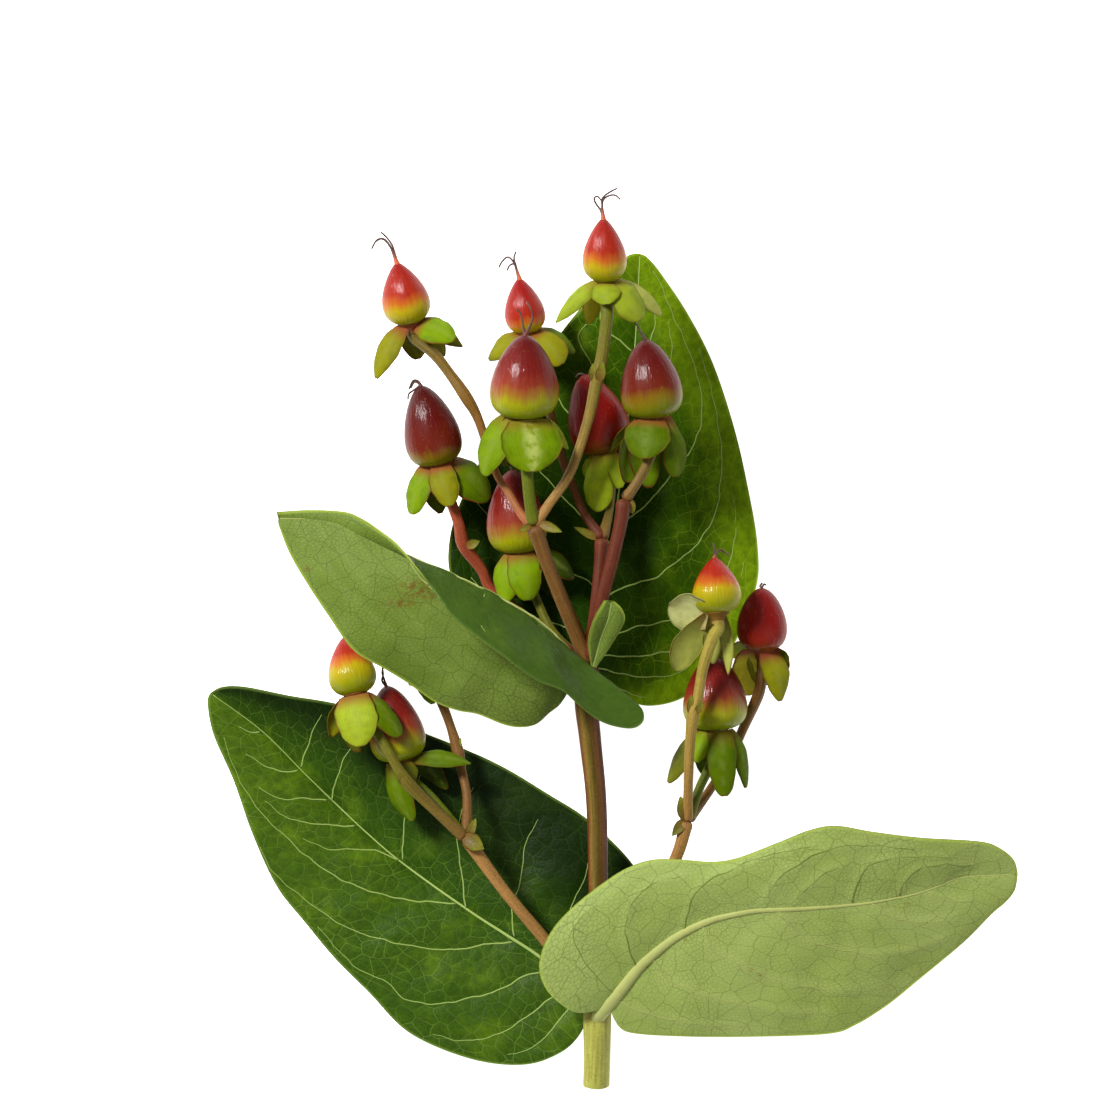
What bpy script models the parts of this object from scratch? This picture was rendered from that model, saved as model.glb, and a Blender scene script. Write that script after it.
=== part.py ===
"""Hypericum berry stem: a cut flowering branch with four large leaves and three berry clusters.

It lies on a surface, seen from above: +X is right, +Y runs towards the tip of the stem, and +Z is up.
Places are drawn on a grid of pixels, which PIXEL turns into real size, with a height in millimetres.
"""

import math
import random

import bmesh
import bpy
from mathutils import Matrix, Vector

MM = 0.001
PIXEL = 0.17 * MM
ORIGIN_X = 613.4
ORIGIN_Y = 642.7
GAP = 0.3 * MM
STALK_GAP = 0.55 * MM

LEAF_THICKNESS = 0.6 * MM
LEAF_ROWS = 20
YOUNG_LEAF_ROWS = 6
LEAF_COLUMNS = 6
SEPAL_THICKNESS = 0.6 * MM
SEPAL_ROWS = 4
SEPAL_COLUMNS = 2
RUNG_FAN = 1.35
BERRY_RINGS = 7
BERRY_SIDES = 12
BERRY_BULGE = 0.576
BERRY_FULLNESS = 0.54
SEAT_SHARE = 0.22
RECEPTACLE_HEIGHT = 1.3 * MM
STYLE_RADIUS = 0.28 * MM
STYLE_ROOT = 1.2 * MM
STYLE_SPREAD = 0.42
STYLES = 3
SHORT_STYLE = 2
SEPAL_DROP = 0.62 * MM
SEPAL_SINK = 0.75 * MM
SEPAL_ARCH = 0.12
SEPAL_CUP = 0.24
BRACT_THICKNESS = 0.5 * MM
BRACT_ROOT = 0.15
PATH_STEPS = 400
SEED = 7

# Each fruit: the berry's seat, its tip, its widest diameter, and the style's length and lean.
FRUITS = {
    "top": ((605, 281, 25.0), (603, 219, 27.5), 7.6, 4.6, -8),
    "upper_left": ((411, 323, 20.0), (397, 263, 22.0), 8.2, 4.8, 22),
    "upper_middle": ((528, 332, 12.6), (519, 278, 14.0), 7.0, 4.6, 2),
    "front": ((524, 416, 27.0), (525, 336, 30.0), 11.8, 4.2, 12),
    "left": ((438, 463, 15.2), (421, 386, 17.0), 9.7, 3.4, 60),
    "middle_right": ((606, 450, 12.6), (584, 375, 14.6), 10.6, 1.4, 0),
    "right": ((654, 416, 19.8), (645, 340, 21.6), 10.6, 3.4, 40),
    "middle_low": ((519, 551, 12.4), (512, 470, 14.0), 10.3, 1.4, 0),
    "side_upper": ((717, 613, 22.4), (714, 557, 21.4), 8.4, 3.8, -6),
    "side_right": ((762, 649, 12.6), (762, 588, 14.0), 8.6, 1.2, 0),
    "side_lower": ((716, 728, 12.0), (713, 655, 13.2), 11.2, 1.4, 0),
    "low_left": ((356, 694, 14.6), (344, 637, 13.4), 8.3, 1.4, 0),
    "low_middle": ((402, 759, 9.4), (386, 686, 10.4), 9.6, 3.2, -16),
    "low_hidden": ((428, 668, 8.0), (413, 612, 8.6), 8.0, 1.4, 0),
}

# The five sepals of each fruit: place of the tip, and width.
SEPALS = {
    "top": ((606, 305, 28.2, 4.8), (558, 325, 24.0, 4.4), (590, 326, 21.4, 3.8),
            (643, 320, 26.0, 6.0), (661, 316, 21.6, 4.2)),
    "upper_left": ((377, 379, 20.4, 4.6), (453, 341, 23.4, 6.4), (461, 349, 18.4, 4.6),
                   (443, 358, 16.6, 4.6), (418, 359, 16.4, 4.6)),
    "upper_middle": ((563, 365, 15.4, 6.2), (575, 352, 11.2, 5.6), (490, 362, 12.6, 5.0),
                     (512, 364, 9.4, 4.6), (542, 370, 8.8, 4.6)),
    "front": ((534, 472, 29.8, 9.8), (483, 475, 26.6, 6.4), (566, 451, 25.0, 5.6),
              (549, 468, 22.8, 6.0), (508, 467, 24.4, 5.2)),
    "left": ((414, 515, 15.8, 5.8), (450, 507, 18.2, 5.2), (490, 499, 14.8, 7.4),
             (440, 513, 11.2, 5.0), (468, 496, 10.6, 5.0)),
    "middle_right": ((600, 512, 15.0, 5.4), (588, 478, 11.6, 4.6), (620, 490, 15.0, 4.0),
                     (611, 498, 9.0, 4.6), (632, 468, 9.8, 4.4)),
    "right": ((645, 459, 23.4, 7.8), (677, 477, 19.6, 4.8), (630, 484, 17.6, 6.0),
              (650, 488, 16.6, 6.4), (610, 454, 17.6, 3.6)),
    "middle_low": ((506, 604, 14.0, 5.6), (526, 600, 15.4, 5.8), (574, 578, 13.4, 5.6),
                   (553, 600, 10.2, 5.6), (518, 598, 9.8, 4.8)),
    "side_upper": ((673, 620, 21.4, 6.6), (674, 669, 21.4, 6.0), (728, 675, 21.6, 2.6),
                   (713, 664, 19.4, 4.4), (722, 660, 17.6, 4.4)),
    "side_right": ((728, 656, 8.0, 4.4), (748, 697, 7.4, 6.0), (780, 701, 13.0, 5.0),
                   (788, 668, 10.6, 4.4), (762, 688, 7.4, 4.6)),
    "side_lower": ((696, 763, 14.4, 4.0), (671, 784, 10.8, 5.2), (723, 796, 14.8, 5.0),
                   (745, 788, 11.8, 3.8), (706, 778, 9.0, 4.2)),
    "low_left": ((330, 736, 14.0, 4.0), (363, 746, 17.8, 7.2), (400, 738, 17.2, 5.0),
                 (358, 752, 12.6, 4.8), (343, 738, 10.4, 4.4)),
    "low_middle": ((471, 765, 12.2, 3.6), (413, 821, 8.6, 5.2), (447, 789, 6.0, 4.4),
                   (412, 785, 12.0, 3.2), (397, 792, 6.8, 4.0)),
    "low_hidden": ((433, 704, 9.6, 4.0), (411, 686, 9.6, 4.0), (452, 690, 8.2, 4.4),
                   (442, 690, 6.4, 4.4), (406, 672, 6.6, 4.0)),
}

# Each stalk: points (x, y, height in mm, radius in mm), and the fruit that it ends at, if any.
STALKS = [
    ([(596, 1086, 1.98, 2.2), (597, 1050, 4.3, 2.2), (597, 1012, 6.5, 2.3), (598, 950, 8.0, 1.75),
      (598, 880, 9.6, 1.65), (596, 800, 11.6, 1.7), (590, 740, 13.4, 1.8), (586, 700, 14.8, 1.95),
      (588, 663, 16.2, 2.0)], None),
    ([(588, 664, 16.2, 1.6), (578, 638, 17.6, 1.3), (562, 600, 20.6, 1.2), (546, 560, 23.2, 1.15),
      (534, 525, 25.0, 1.35)], None),
    ([(534, 525, 25.0, 1.0), (522, 515, 24.2, 0.75), (508, 492, 22.8, 0.65), (495, 470, 21.6, 0.65),
      (479, 421, 21.2, 0.75), (466, 397, 21.6, 1.0), (450, 374, 21.0, 0.85), (434, 354, 20.4, 0.9)],
     "upper_left"),
    ([(534, 526, 25.0, 1.1), (530, 500, 25.6, 1.0), (527, 470, 26.0, 1.0), (525, 444, 26.4, 1.0)],
     "front"),
    ([(534, 526, 25.0, 1.0), (548, 506, 24.6, 0.8), (570, 473, 24.0, 0.8), (587, 424, 24.0, 0.85),
      (597, 380, 24.4, 1.05), (603, 350, 24.8, 1.0), (607, 315, 25.0, 1.05)], "top"),
    ([(589, 662, 16.4, 1.4), (594, 622, 17.2, 1.05), (599, 574, 17.4, 1.0), (602, 538, 17.0, 1.2)],
     None),
    ([(602, 539, 17.0, 1.0), (584, 513, 16.0, 0.7), (572, 484, 15.0, 0.7), (563, 461, 14.5, 0.7),
      (552, 420, 14.0, 0.7), (542, 375, 13.2, 0.8), (534, 356, 12.8, 0.85)], "upper_middle"),
    ([(602, 539, 17.0, 1.0), (609, 512, 14.4, 0.7), (611, 490, 12.6, 0.75), (610, 476, 12.0, 0.85)],
     "middle_right"),
    ([(590, 660, 17.0, 1.4), (601, 603, 19.0, 1.1), (611, 564, 20.0, 1.1), (620, 526, 20.4, 1.1),
      (624, 499, 20.4, 1.25)], None),
    ([(624, 500, 20.4, 1.0), (632, 490, 20.4, 0.85), (643, 472, 20.2, 0.85), (653, 448, 19.8, 0.9)],
     "right"),
    ([(586, 664, 15.8, 1.3), (560, 645, 14.6, 0.9), (540, 628, 13.4, 0.9), (494, 592, 11.8, 0.9),
      (482, 570, 12.4, 0.9), (464, 545, 13.6, 1.1), (459, 524, 14.6, 0.9), (450, 499, 14.8, 0.9)],
     "left"),
    ([(586, 664, 15.4, 1.2), (566, 646, 13.8, 0.8), (550, 628, 13.0, 0.75), (538, 603, 12.2, 0.75),
      (528, 580, 12.0, 0.85)], "middle_low"),
    ([(594, 1006, 7.0, 1.4), (570, 972, 8.4, 1.1), (545, 940, 9.2, 1.0), (505, 892, 10.6, 0.95),
      (466, 838, 12.0, 1.15)], None),
    ([(465, 838, 12.0, 1.0), (432, 807, 14.2, 0.9), (407, 782, 15.6, 1.1), (398, 768, 15.8, 0.85),
      (387, 749, 15.8, 0.85), (370, 722, 15.2, 0.9)], "low_left"),
    ([(464, 837, 12.0, 0.95), (440, 806, 11.4, 0.7), (424, 790, 10.4, 0.75)], "low_middle"),
    ([(466, 838, 11.8, 1.0), (467, 798, 9.8, 0.75), (461, 768, 8.4, 0.8), (458, 752, 8.0, 1.0),
      (451, 728, 7.8, 0.75), (442, 704, 7.6, 0.8)], "low_hidden"),
    ([(602, 1004, 7.2, 1.4), (622, 960, 8.6, 1.1), (645, 915, 9.8, 1.05), (676, 858, 11.6, 1.0),
      (687, 820, 12.4, 1.15)], None),
    ([(687, 821, 12.4, 1.0), (688, 795, 14.6, 0.8), (688.5, 771, 16.8, 0.8), (690, 740, 18.8, 0.85),
      (693, 712, 20.2, 1.05), (697, 700, 20.8, 0.85), (703, 666, 22.0, 0.9), (713, 636, 22.4, 1.0)],
     "side_upper"),
    ([(688, 820, 12.2, 0.95), (700, 787, 11.8, 0.75), (713, 760, 11.8, 0.85)], "side_lower"),
    ([(688, 820, 12.2, 0.95), (706, 796, 8.6, 0.75), (728, 762, 6.4, 0.75), (744, 727, 8.0, 0.8),
      (758, 695, 11.8, 0.95), (761, 678, 13.0, 0.9)], "side_right"),
]

# Bracts at the joints of the stalks: root, tip, width in mm.
BRACTS = [
    ((541, 524, 25.4), (562, 532, 26.4), 1.7),
    ((530, 526, 25.4), (520, 531, 25.8), 1.2),
    ((597, 538, 17.2), (574, 527, 17.8), 1.4),
    ((468, 546, 14.8), (480, 541, 15.4), 1.6),
    ((628, 500, 20.4), (633, 514, 19.8), 1.8),
    ((593, 380, 24.8), (593, 364, 25.2), 1.5),
    ((599, 380, 25.2), (603, 362, 26.2), 1.7),
    ((686, 818, 13.2), (680, 796, 14.2), 2.4),
    ((684, 821, 12.8), (672, 836, 13.2), 1.8),
    ((690, 712, 20.6), (691, 694, 21.4), 1.3),
    ((696, 712, 20.8), (703, 702, 22.2), 1.2),
    ((466, 838, 12.8), (484, 849, 13.8), 3.0),
    ((468, 836, 12.2), (476, 818, 12.4), 1.6),
    ((404, 783, 15.8), (396, 770, 17.2), 1.3),
    ((455, 752, 8.2), (461, 738, 8.4), 1.2),
]

# Each leaf: midrib, then the margin on its left and on its right, all from base to tip.
# hump lifts each half between midrib and margin, in mm.
LEAVES = {
    "leaf_upper_back": {
        "midrib": [(590, 668, 12.9), (595, 640, 9.6), (602, 600, 6.6), (612, 540, 3.9),
                   (622, 470, 2.5), (630, 400, 1.9), (636, 333, 1.7), (640, 252, 2.6)],
        "left": [(584, 668, 12.6), (556, 664, 10.4), (518, 648, 8.2), (478, 620, 6.6),
                 (452, 580, 6.0), (449, 543, 5.6), (461, 500, 5.0), (490, 443, 4.2),
                 (525, 384, 3.4), (562, 331, 3.0), (602, 282, 2.8), (624, 258, 2.8),
                 (635, 253, 2.8)],
        "right": [(594, 676, 12.2), (620, 696, 9.4), (650, 706, 6.6), (690, 694, 4.6),
                  (730, 652, 3.0), (756, 590, 1.8), (758, 545, 1.1), (748, 485, 0.5),
                  (734, 425, 0.3), (713, 362, 0.6), (688, 313, 1.1), (662, 274, 1.8),
                  (645, 254, 2.6)],
        "hump": 1.4,
        "shade": "leaf_top",
    },
    "leaf_upper_front": {
        "midrib": [(583, 665, 19.0), (562, 641, 21.4), (543, 623, 23.0), (519, 607, 24.2),
                   (496, 595, 25.0), (469, 581, 25.4), (437, 567, 25.2), (410, 556, 24.6),
                   (385, 546, 23.8), (361, 534, 22.8), (330, 521, 21.6), (279, 518, 20.0)],
        "left": [(578, 670, 18.2), (570, 688, 16.2), (560, 704, 15.0), (549, 713, 14.6),
                 (536, 724, 14.6), (520, 727, 15.0), (503, 724, 15.5), (478, 714, 16.2),
                 (457, 710, 16.8), (434, 701, 17.6), (407, 682, 19.0), (384, 668, 20.2),
                 (354, 650, 21.2), (330, 617, 21.4), (308, 584, 21.0), (290, 553, 20.4),
                 (279, 525, 19.8)],
        "right": [(590, 671, 19.8), (609, 685, 20.2), (630, 699, 20.8), (642, 709, 21.4),
                  (643, 721, 22.0), (632, 728, 22.6), (611, 725, 23.4), (594, 717, 24.4),
                  (576, 702, 26.2), (562, 690, 27.6), (541, 682, 29.0), (523, 671, 30.2),
                  (505, 657, 31.2), (478, 637, 31.8), (455, 619, 31.6), (439, 598, 31.0),
                  (425, 578, 30.0), (412, 560, 28.6), (397, 543, 26.8), (380, 530, 25.2),
                  (363, 519, 23.6), (345, 512, 22.4), (310, 510, 21.2), (277, 512, 20.6)],
        "hump": 0.9,
        "shade": "leaf_underside",
    },
    "leaf_lower_left": {
        "midrib": [(590, 1003, 3.5), (570, 985, 2.6), (540, 958, 2.0), (505, 935, 1.5),
                   (468, 911, 1.0), (402, 864, 0.32), (359, 827, 0.6), (305, 775, 1.8),
                   (262, 732, 3.4), (209, 692, 6.3)],
        "left": [(586, 1011, 3.4), (582, 1032, 2.9), (562, 1053, 2.3), (524, 1066, 1.9),
                 (470, 1060, 1.7), (409, 1034, 1.7), (368, 993, 1.8), (334, 959, 2.0),
                 (305, 924, 2.3), (276, 887, 2.7), (252, 835, 3.4), (233, 781, 4.3),
                 (213, 735, 5.4), (208, 700, 6.2)],
        "right": [(597, 998, 3.3), (624, 984, 3.0), (648, 950, 2.7), (652, 905, 2.5),
                  (632, 864, 2.5), (589, 821, 2.6), (549, 795, 2.8), (506, 769, 3.0),
                  (468, 751, 3.2), (428, 735, 3.6), (380, 716, 4.4), (332, 703, 5.4),
                  (290, 696, 6.4), (245, 687, 7.0), (219, 688, 6.8)],
        "hump": 1.0,
        "shade": "leaf_top",
    },
    "leaf_lower_right": {
        "midrib": [(608, 1006, 9.8), (624, 986, 11.2), (644, 963, 12.9), (676, 937, 14.8),
                   (712, 919, 16.2), (758, 909, 17.2), (807, 907, 17.4), (855, 904, 16.6),
                   (904, 896, 15.2), (937, 886, 14.0), (963, 877, 13.0), (1019, 873, 11.5)],
        "left": [(602, 1010, 9.8), (579, 1013, 10.6), (562, 1005, 11.6), (546, 989, 12.6),
                 (539, 969, 13.4), (543, 947, 14.2), (556, 924, 15.0), (579, 901, 15.8),
                 (605, 881, 16.6), (628, 867, 17.4), (654, 859, 18.2), (682, 859, 18.8),
                 (712, 861, 19.4), (738, 857, 20.0), (777, 842, 20.6), (810, 829, 20.8),
                 (836, 825, 20.6), (872, 831, 19.6), (920, 837, 17.8), (979, 841, 15.2),
                 (1000, 848, 14.0), (1015, 862, 12.4)],
        "right": [(613, 1012, 9.4), (619, 1027, 8.8), (636, 1034, 8.4), (690, 1037, 8.6),
                  (758, 1037, 9.0), (829, 1034, 9.4), (856, 1025, 9.6), (888, 1005, 9.9),
                  (920, 979, 10.2), (963, 943, 10.6), (992, 914, 10.9), (1007, 900, 11.0),
                  (1017, 884, 11.2)],
        "hump": 1.2,
        "shade": "leaf_underside",
    },
    "leaf_young": {
        "midrib": [(593, 667, 18.9), (600, 642, 21.0), (608, 620, 22.4), (611, 601, 23.0)],
        "left": [(591, 665, 19.3), (588, 642, 22.0), (593, 620, 23.6), (604, 600, 23.6)],
        "right": [(596, 667, 18.9), (611, 645, 20.2), (624, 622, 21.4), (622, 609, 22.4),
                  (614, 601, 23.0)],
        "hump": 0.2,
        "shade": "calyx",
    },
}

# Principled BSDF colour, roughness and metallic value of each surface.
SHADES = {
    "stem": ((0.33, 0.19, 0.07), 0.55, 0.0),
    "leaf_top": ((0.05, 0.16, 0.02), 0.38, 0.0),
    "leaf_underside": ((0.27, 0.40, 0.13), 0.60, 0.0),
    "calyx": ((0.32, 0.45, 0.05), 0.50, 0.0),
    "berry_ripe": ((0.22, 0.02, 0.02), 0.22, 0.0),
    "berry_young": ((0.62, 0.12, 0.02), 0.22, 0.0),
}
YOUNG_FRUITS = ("top", "upper_left", "upper_middle", "side_upper", "low_left")


def spot(x, y, height):
    """A place on the stem, in metres, from a pixel and a height in millimetres."""
    return Vector(((x - ORIGIN_X) * PIXEL, (ORIGIN_Y - y) * PIXEL, height * MM))


def clear_scene():
    for obj in list(bpy.data.objects):
        bpy.data.objects.remove(obj)


def new_collection(name):
    collection = bpy.data.collections.new(name)
    bpy.context.scene.collection.children.link(collection)
    return collection


def material(name):
    found = bpy.data.materials.get(name)
    if found:
        return found
    colour, roughness, metallic = SHADES[name]
    made = bpy.data.materials.new(name)
    made.use_nodes = True
    shader = made.node_tree.nodes["Principled BSDF"]
    shader.inputs["Base Color"].default_value = (*colour, 1.0)
    shader.inputs["Roughness"].default_value = roughness
    shader.inputs["Metallic"].default_value = metallic
    return made


def smooth_path(points, share):
    """The place at a share of the way along a Catmull-Rom curve through the points."""
    last = len(points) - 1
    step = min(int(share * last), last - 1)
    t = share * last - step
    before = points[max(step - 1, 0)]
    start, end = points[step], points[step + 1]
    after = points[min(step + 2, last)]
    return 0.5 * (
        2 * start
        + (end - before) * t
        + (2 * before - 5 * start + 4 * end - after) * t ** 2
        + (3 * start - before - 3 * end + after) * t ** 3
    )


def even_path(points, count):
    """count + 1 places at even distances along the smooth curve through the points."""
    fine = [smooth_path(points, i / PATH_STEPS) for i in range(PATH_STEPS + 1)]
    reach = [0.0]
    for start, end in zip(fine, fine[1:]):
        reach.append(reach[-1] + (end - start).length)
    places, k = [], 0
    for i in range(count + 1):
        wanted = reach[-1] * i / count
        while k < PATH_STEPS - 1 and reach[k + 1] < wanted:
            k += 1
        span = max(reach[k + 1] - reach[k], 1e-12)
        places.append(fine[k].lerp(fine[k + 1], min((wanted - reach[k]) / span, 1.0)))
    return places


def add_object(name, mesh, collection, shade=None):
    obj = bpy.data.objects.new(name, mesh)
    collection.objects.link(obj)
    if shade:
        mesh.materials.append(material(shade))
    return obj


def surface(name, rows, columns, place, thickness, collection, shade=None):
    """An open sheet whose points are place(u, v), u from 0 to 1 and v from -1 to 1, made solid."""
    grid = bmesh.new()
    bmesh.ops.create_grid(grid, x_segments=rows, y_segments=columns, size=1.0)
    for vertex in grid.verts:
        vertex.co = place((vertex.co.x + 1) / 2, vertex.co.y)
    bmesh.ops.triangulate(grid, faces=grid.faces)
    mesh = bpy.data.meshes.new(name)
    grid.to_mesh(mesh)
    grid.free()
    mesh.shade_smooth()
    obj = add_object(name, mesh, collection, shade)
    solid = obj.modifiers.new("Thickness", "SOLIDIFY")
    solid.thickness = thickness
    solid.offset = 0.0
    return obj


def baked_mesh(obj):
    """The mesh of an object with its modifiers applied, as a new mesh with welded caps."""
    bpy.context.view_layer.update()
    graph = bpy.context.evaluated_depsgraph_get()
    mesh = bpy.data.meshes.new_from_object(obj.evaluated_get(graph))
    mesh.transform(obj.matrix_world)
    welded = bmesh.new()
    welded.from_mesh(mesh)
    bmesh.ops.remove_doubles(welded, verts=welded.verts, dist=0.001 * MM)
    welded.to_mesh(mesh)
    welded.free()
    return mesh


def fused(base, others, name, collection, shade):
    """base and the objects of a collection joined in one body by a single Boolean union."""
    join = base.modifiers.new("Fuse", "BOOLEAN")
    join.operation = "UNION"
    join.operand_type = "COLLECTION"
    join.collection = others
    join.solver = "EXACT"
    join.use_self = True
    mesh = baked_mesh(base)
    for obj in [base, *others.objects]:
        bpy.data.objects.remove(obj)
    bpy.data.collections.remove(others)
    mesh.materials.clear()
    mesh.shade_smooth()
    mesh.set_sharp_from_angle(angle=math.radians(50))
    return add_object(name, mesh, collection, shade)


def tube(points, radii, sides, collection):
    """A round stalk along the points, as a mesh with closed ends."""
    curve = bpy.data.curves.new("stalk", "CURVE")
    curve.dimensions = "3D"
    curve.bevel_depth = 1.0
    curve.bevel_resolution = (sides - 4) // 2
    curve.use_fill_caps = True
    spline = curve.splines.new("POLY")
    spline.points.add(len(points) - 1)
    for point, place, radius in zip(spline.points, points, radii):
        point.co = (*place, 1.0)
        point.radius = radius
    drawn = bpy.data.objects.new("stalk", curve)
    collection.objects.link(drawn)
    obj = bpy.data.objects.new("stalk_solid", baked_mesh(drawn))
    bpy.data.objects.remove(drawn)
    collection.objects.link(obj)
    return obj


def make_leaf(name, plan, collection):
    """A blade between its midrib and its two margins. The rungs fan out from the leaf's base."""
    midrib = even_path([spot(*p) for p in plan["midrib"]], 60)
    margins = {
        -1: even_path([spot(*p) for p in plan["left"]], 60),
        1: even_path([spot(*p) for p in plan["right"]], 60),
    }

    def place(u, v):
        inner = smooth_path(midrib, u ** RUNG_FAN)
        outer = smooth_path(margins[-1 if v < 0 else 1], u)
        across = abs(v)
        lift = plan["hump"] * MM * 4 * across * (1 - across) * math.sin(math.pi * u)
        return inner.lerp(outer, across) + Vector((0, 0, lift))

    young = name == "leaf_young"
    rows, columns = (YOUNG_LEAF_ROWS, 4) if young else (LEAF_ROWS, LEAF_COLUMNS)
    return surface(name, rows, columns, place, LEAF_THICKNESS, collection, plan["shade"])


def fruit_frame(fruit):
    """Seat, axis towards the berry's tip, the direction across it that faces up, and the side."""
    seat, tip = spot(*fruit[0]), spot(*fruit[1])
    axis = (tip - seat).normalized()
    facing = (Vector((0, 0, 1)) - axis * axis.z).normalized()
    return seat, axis, facing, axis.cross(facing)


def standing(place, axis, side):
    """A matrix that stands a shape at a place with its local Z along the axis."""
    turned = Matrix((side, axis.cross(side), axis)).transposed()
    return Matrix.Translation(place) @ turned.to_4x4()


def berry_radius(share, widest):
    """Radius of the egg-shaped berry at a share of the way from its seat to its tip."""
    return widest * math.sin(math.pi * share ** BERRY_BULGE) ** BERRY_FULLNESS


def make_berry(name, fruit, collection, rng):
    """A turned, pointed berry with its styles fused to the tip."""
    seat, axis, facing, side = fruit_frame(fruit)
    length = (spot(*fruit[1]) - seat).length
    profile = bmesh.new()
    ring = None
    for i in range(BERRY_RINGS + 1):
        share = 1 - i / BERRY_RINGS
        radius = 0.0 if i in (0, BERRY_RINGS) else berry_radius(share, fruit[2] / 2 * MM)
        vertex = profile.verts.new((radius, 0, GAP + share * (length - GAP)))
        if ring:
            profile.edges.new((ring, vertex))
        ring = vertex
    mesh = bpy.data.meshes.new(name)
    profile.to_mesh(mesh)
    profile.free()
    body = add_object(name + "_body", mesh, collection)
    turn = body.modifiers.new("Turn", "SCREW")
    turn.steps = turn.render_steps = BERRY_SIDES
    turn.use_merge_vertices = True
    turn.merge_threshold = 0.01 * MM
    body.matrix_world = standing(seat, axis, side)

    threads = new_collection(name + "_styles")
    style_length, lean = fruit[3] * MM, math.radians(fruit[4])
    start = seat + axis * (length - STYLE_ROOT)
    ahead = (axis * math.cos(lean) - side * math.sin(lean)).normalized()
    whole = fruit[3] > SHORT_STYLE
    for k in range(STYLES if whole else 1):
        turned = math.tau * k / STYLES + rng.uniform(-0.4, 0.4)
        away = (facing * math.cos(turned) + side * math.sin(turned)) * STYLE_SPREAD
        route = [start, seat + axis * length, seat + axis * length + ahead * style_length * 0.4]
        if whole:
            route.append(route[2] + (ahead + away) * style_length * 0.32)
            route.append(route[3] + (ahead * 0.35 + away * 1.5) * style_length * 0.3)
        tube(route, [STYLE_RADIUS] * len(route), 4, threads)
    young = name.removeprefix("berry_") in YOUNG_FRUITS
    return fused(body, threads, name, collection, "berry_young" if young else "berry_ripe")


def sepal_width(share):
    """Half-width of a sepal, as a share of its widest, from root to tip."""
    return 0.96 * math.sin(math.pi * (0.14 + 0.82 * share)) ** 0.7


def make_calyx(name, fruit, sepals, stalk_radius, collection):
    """Five arched sepals turned back round the stalk, joined by the flared seat of the berry."""
    seat, axis, facing, side = fruit_frame(fruit)
    top_radius = fruit[2] * SEAT_SHARE * MM
    cup = bmesh.new()
    bmesh.ops.create_cone(
        cup, cap_ends=True, segments=10, radius1=stalk_radius, radius2=top_radius,
        depth=RECEPTACLE_HEIGHT)
    mesh = bpy.data.meshes.new(name)
    cup.to_mesh(mesh)
    cup.free()
    base = add_object(name + "_seat", mesh, collection)
    base.matrix_world = standing(seat - axis * (RECEPTACLE_HEIGHT / 2), axis, side)

    blades = new_collection(name + "_sepals")
    for k, (x, y, height, width) in enumerate(sepals):
        tip = spot(x, y, height)
        lean = tip - seat
        outward = (lean - axis * lean.dot(axis)).normalized()
        root = seat - axis * SEPAL_DROP + outward * (top_radius - SEPAL_SINK)
        along = tip - root
        # Half of the turn is round the stalk, and half lies flat to the eye from above.
        round_stalk = axis.cross(outward)
        flat = Vector((0, 0, 1)).cross(along).normalized()
        if flat.dot(round_stalk) < 0:
            flat = -flat
        across = (round_stalk + flat).normalized()
        away = along.cross(across).normalized()
        if away.dot(outward + axis) < 0:
            away = -away

        def place(u, v, root=root, along=along, away=away, across=across, width=width):
            half = sepal_width(u) * width / 2 * MM
            arch = SEPAL_ARCH * 4 * u * (1 - u) * along.length - SEPAL_CUP * v * v * half
            return root + along * u + away * arch + across * (v * half)

        surface(f"{name}_{k}", SEPAL_ROWS, SEPAL_COLUMNS, place, SEPAL_THICKNESS, blades)
    return fused(base, blades, name, collection, "calyx")


def stalk_route(points, fruit_name):
    """The stalk's places and radii, evenly spaced, ending square under its fruit's calyx."""
    places = [spot(*p[:3]) for p in points]
    radii = [p[3] * MM for p in points]
    if fruit_name:
        seat, axis, _, _ = fruit_frame(FRUITS[fruit_name])
        end = seat - axis * (RECEPTACLE_HEIGHT + STALK_GAP)
        places += [end - axis * (1.4 * MM), end]
        radii += [radii[-1], radii[-1] * 1.05]
    packed = [Vector((*place, radius)) for place, radius in zip(places, radii)]
    steps = len(packed) + 1
    route = [smooth_path(packed, i / steps) for i in range(steps + 1)]
    return [r.xyz for r in route], [r.w for r in route]


def make_bract(index, plan, collection):
    """A small pointed bract, its root sunk in the joint."""
    root, tip, width = spot(*plan[0]), spot(*plan[1]), plan[2] * MM
    along = tip - root
    across = along.cross(Vector((0, 0, 1))).normalized()
    away = across.cross(along).normalized()

    def place(u, v):
        half = width / 2 * sepal_width(u)
        rise = 0.5 * width * u * (1 - u)
        reach = u * (1 + BRACT_ROOT) - BRACT_ROOT
        return root + along * reach + away * rise + across * (v * half)

    return surface(f"bract_{index}", 3, 2, place, BRACT_THICKNESS, collection)


def make_stem(collection):
    """The main stem with its forks, fruit stalks and bracts, grown as one piece."""
    shoots = new_collection("stem_shoots")
    trunk = None
    for points, fruit_name in STALKS:
        route, radii = stalk_route(points, fruit_name)
        sides = 10 if trunk is None else 6
        shoot = tube(route, radii, sides, shoots)
        trunk = trunk or shoot
    for index, plan in enumerate(BRACTS):
        make_bract(index, plan, shoots)
    shoots.objects.unlink(trunk)
    collection.objects.link(trunk)
    return fused(trunk, shoots, "stem", collection, "stem")


def main():
    clear_scene()
    collection = new_collection("hypericum_berry_stem")
    make_stem(collection)
    for name, plan in LEAVES.items():
        make_leaf(name, plan, collection)
    stalk_ends = {fruit_name: points[-1][3] * MM for points, fruit_name in STALKS if fruit_name}
    rng = random.Random(SEED)
    for name, fruit in FRUITS.items():
        make_berry("berry_" + name, fruit, collection, rng)
        make_calyx("calyx_" + name, fruit, SEPALS[name], stalk_ends[name], collection)


main()
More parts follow.
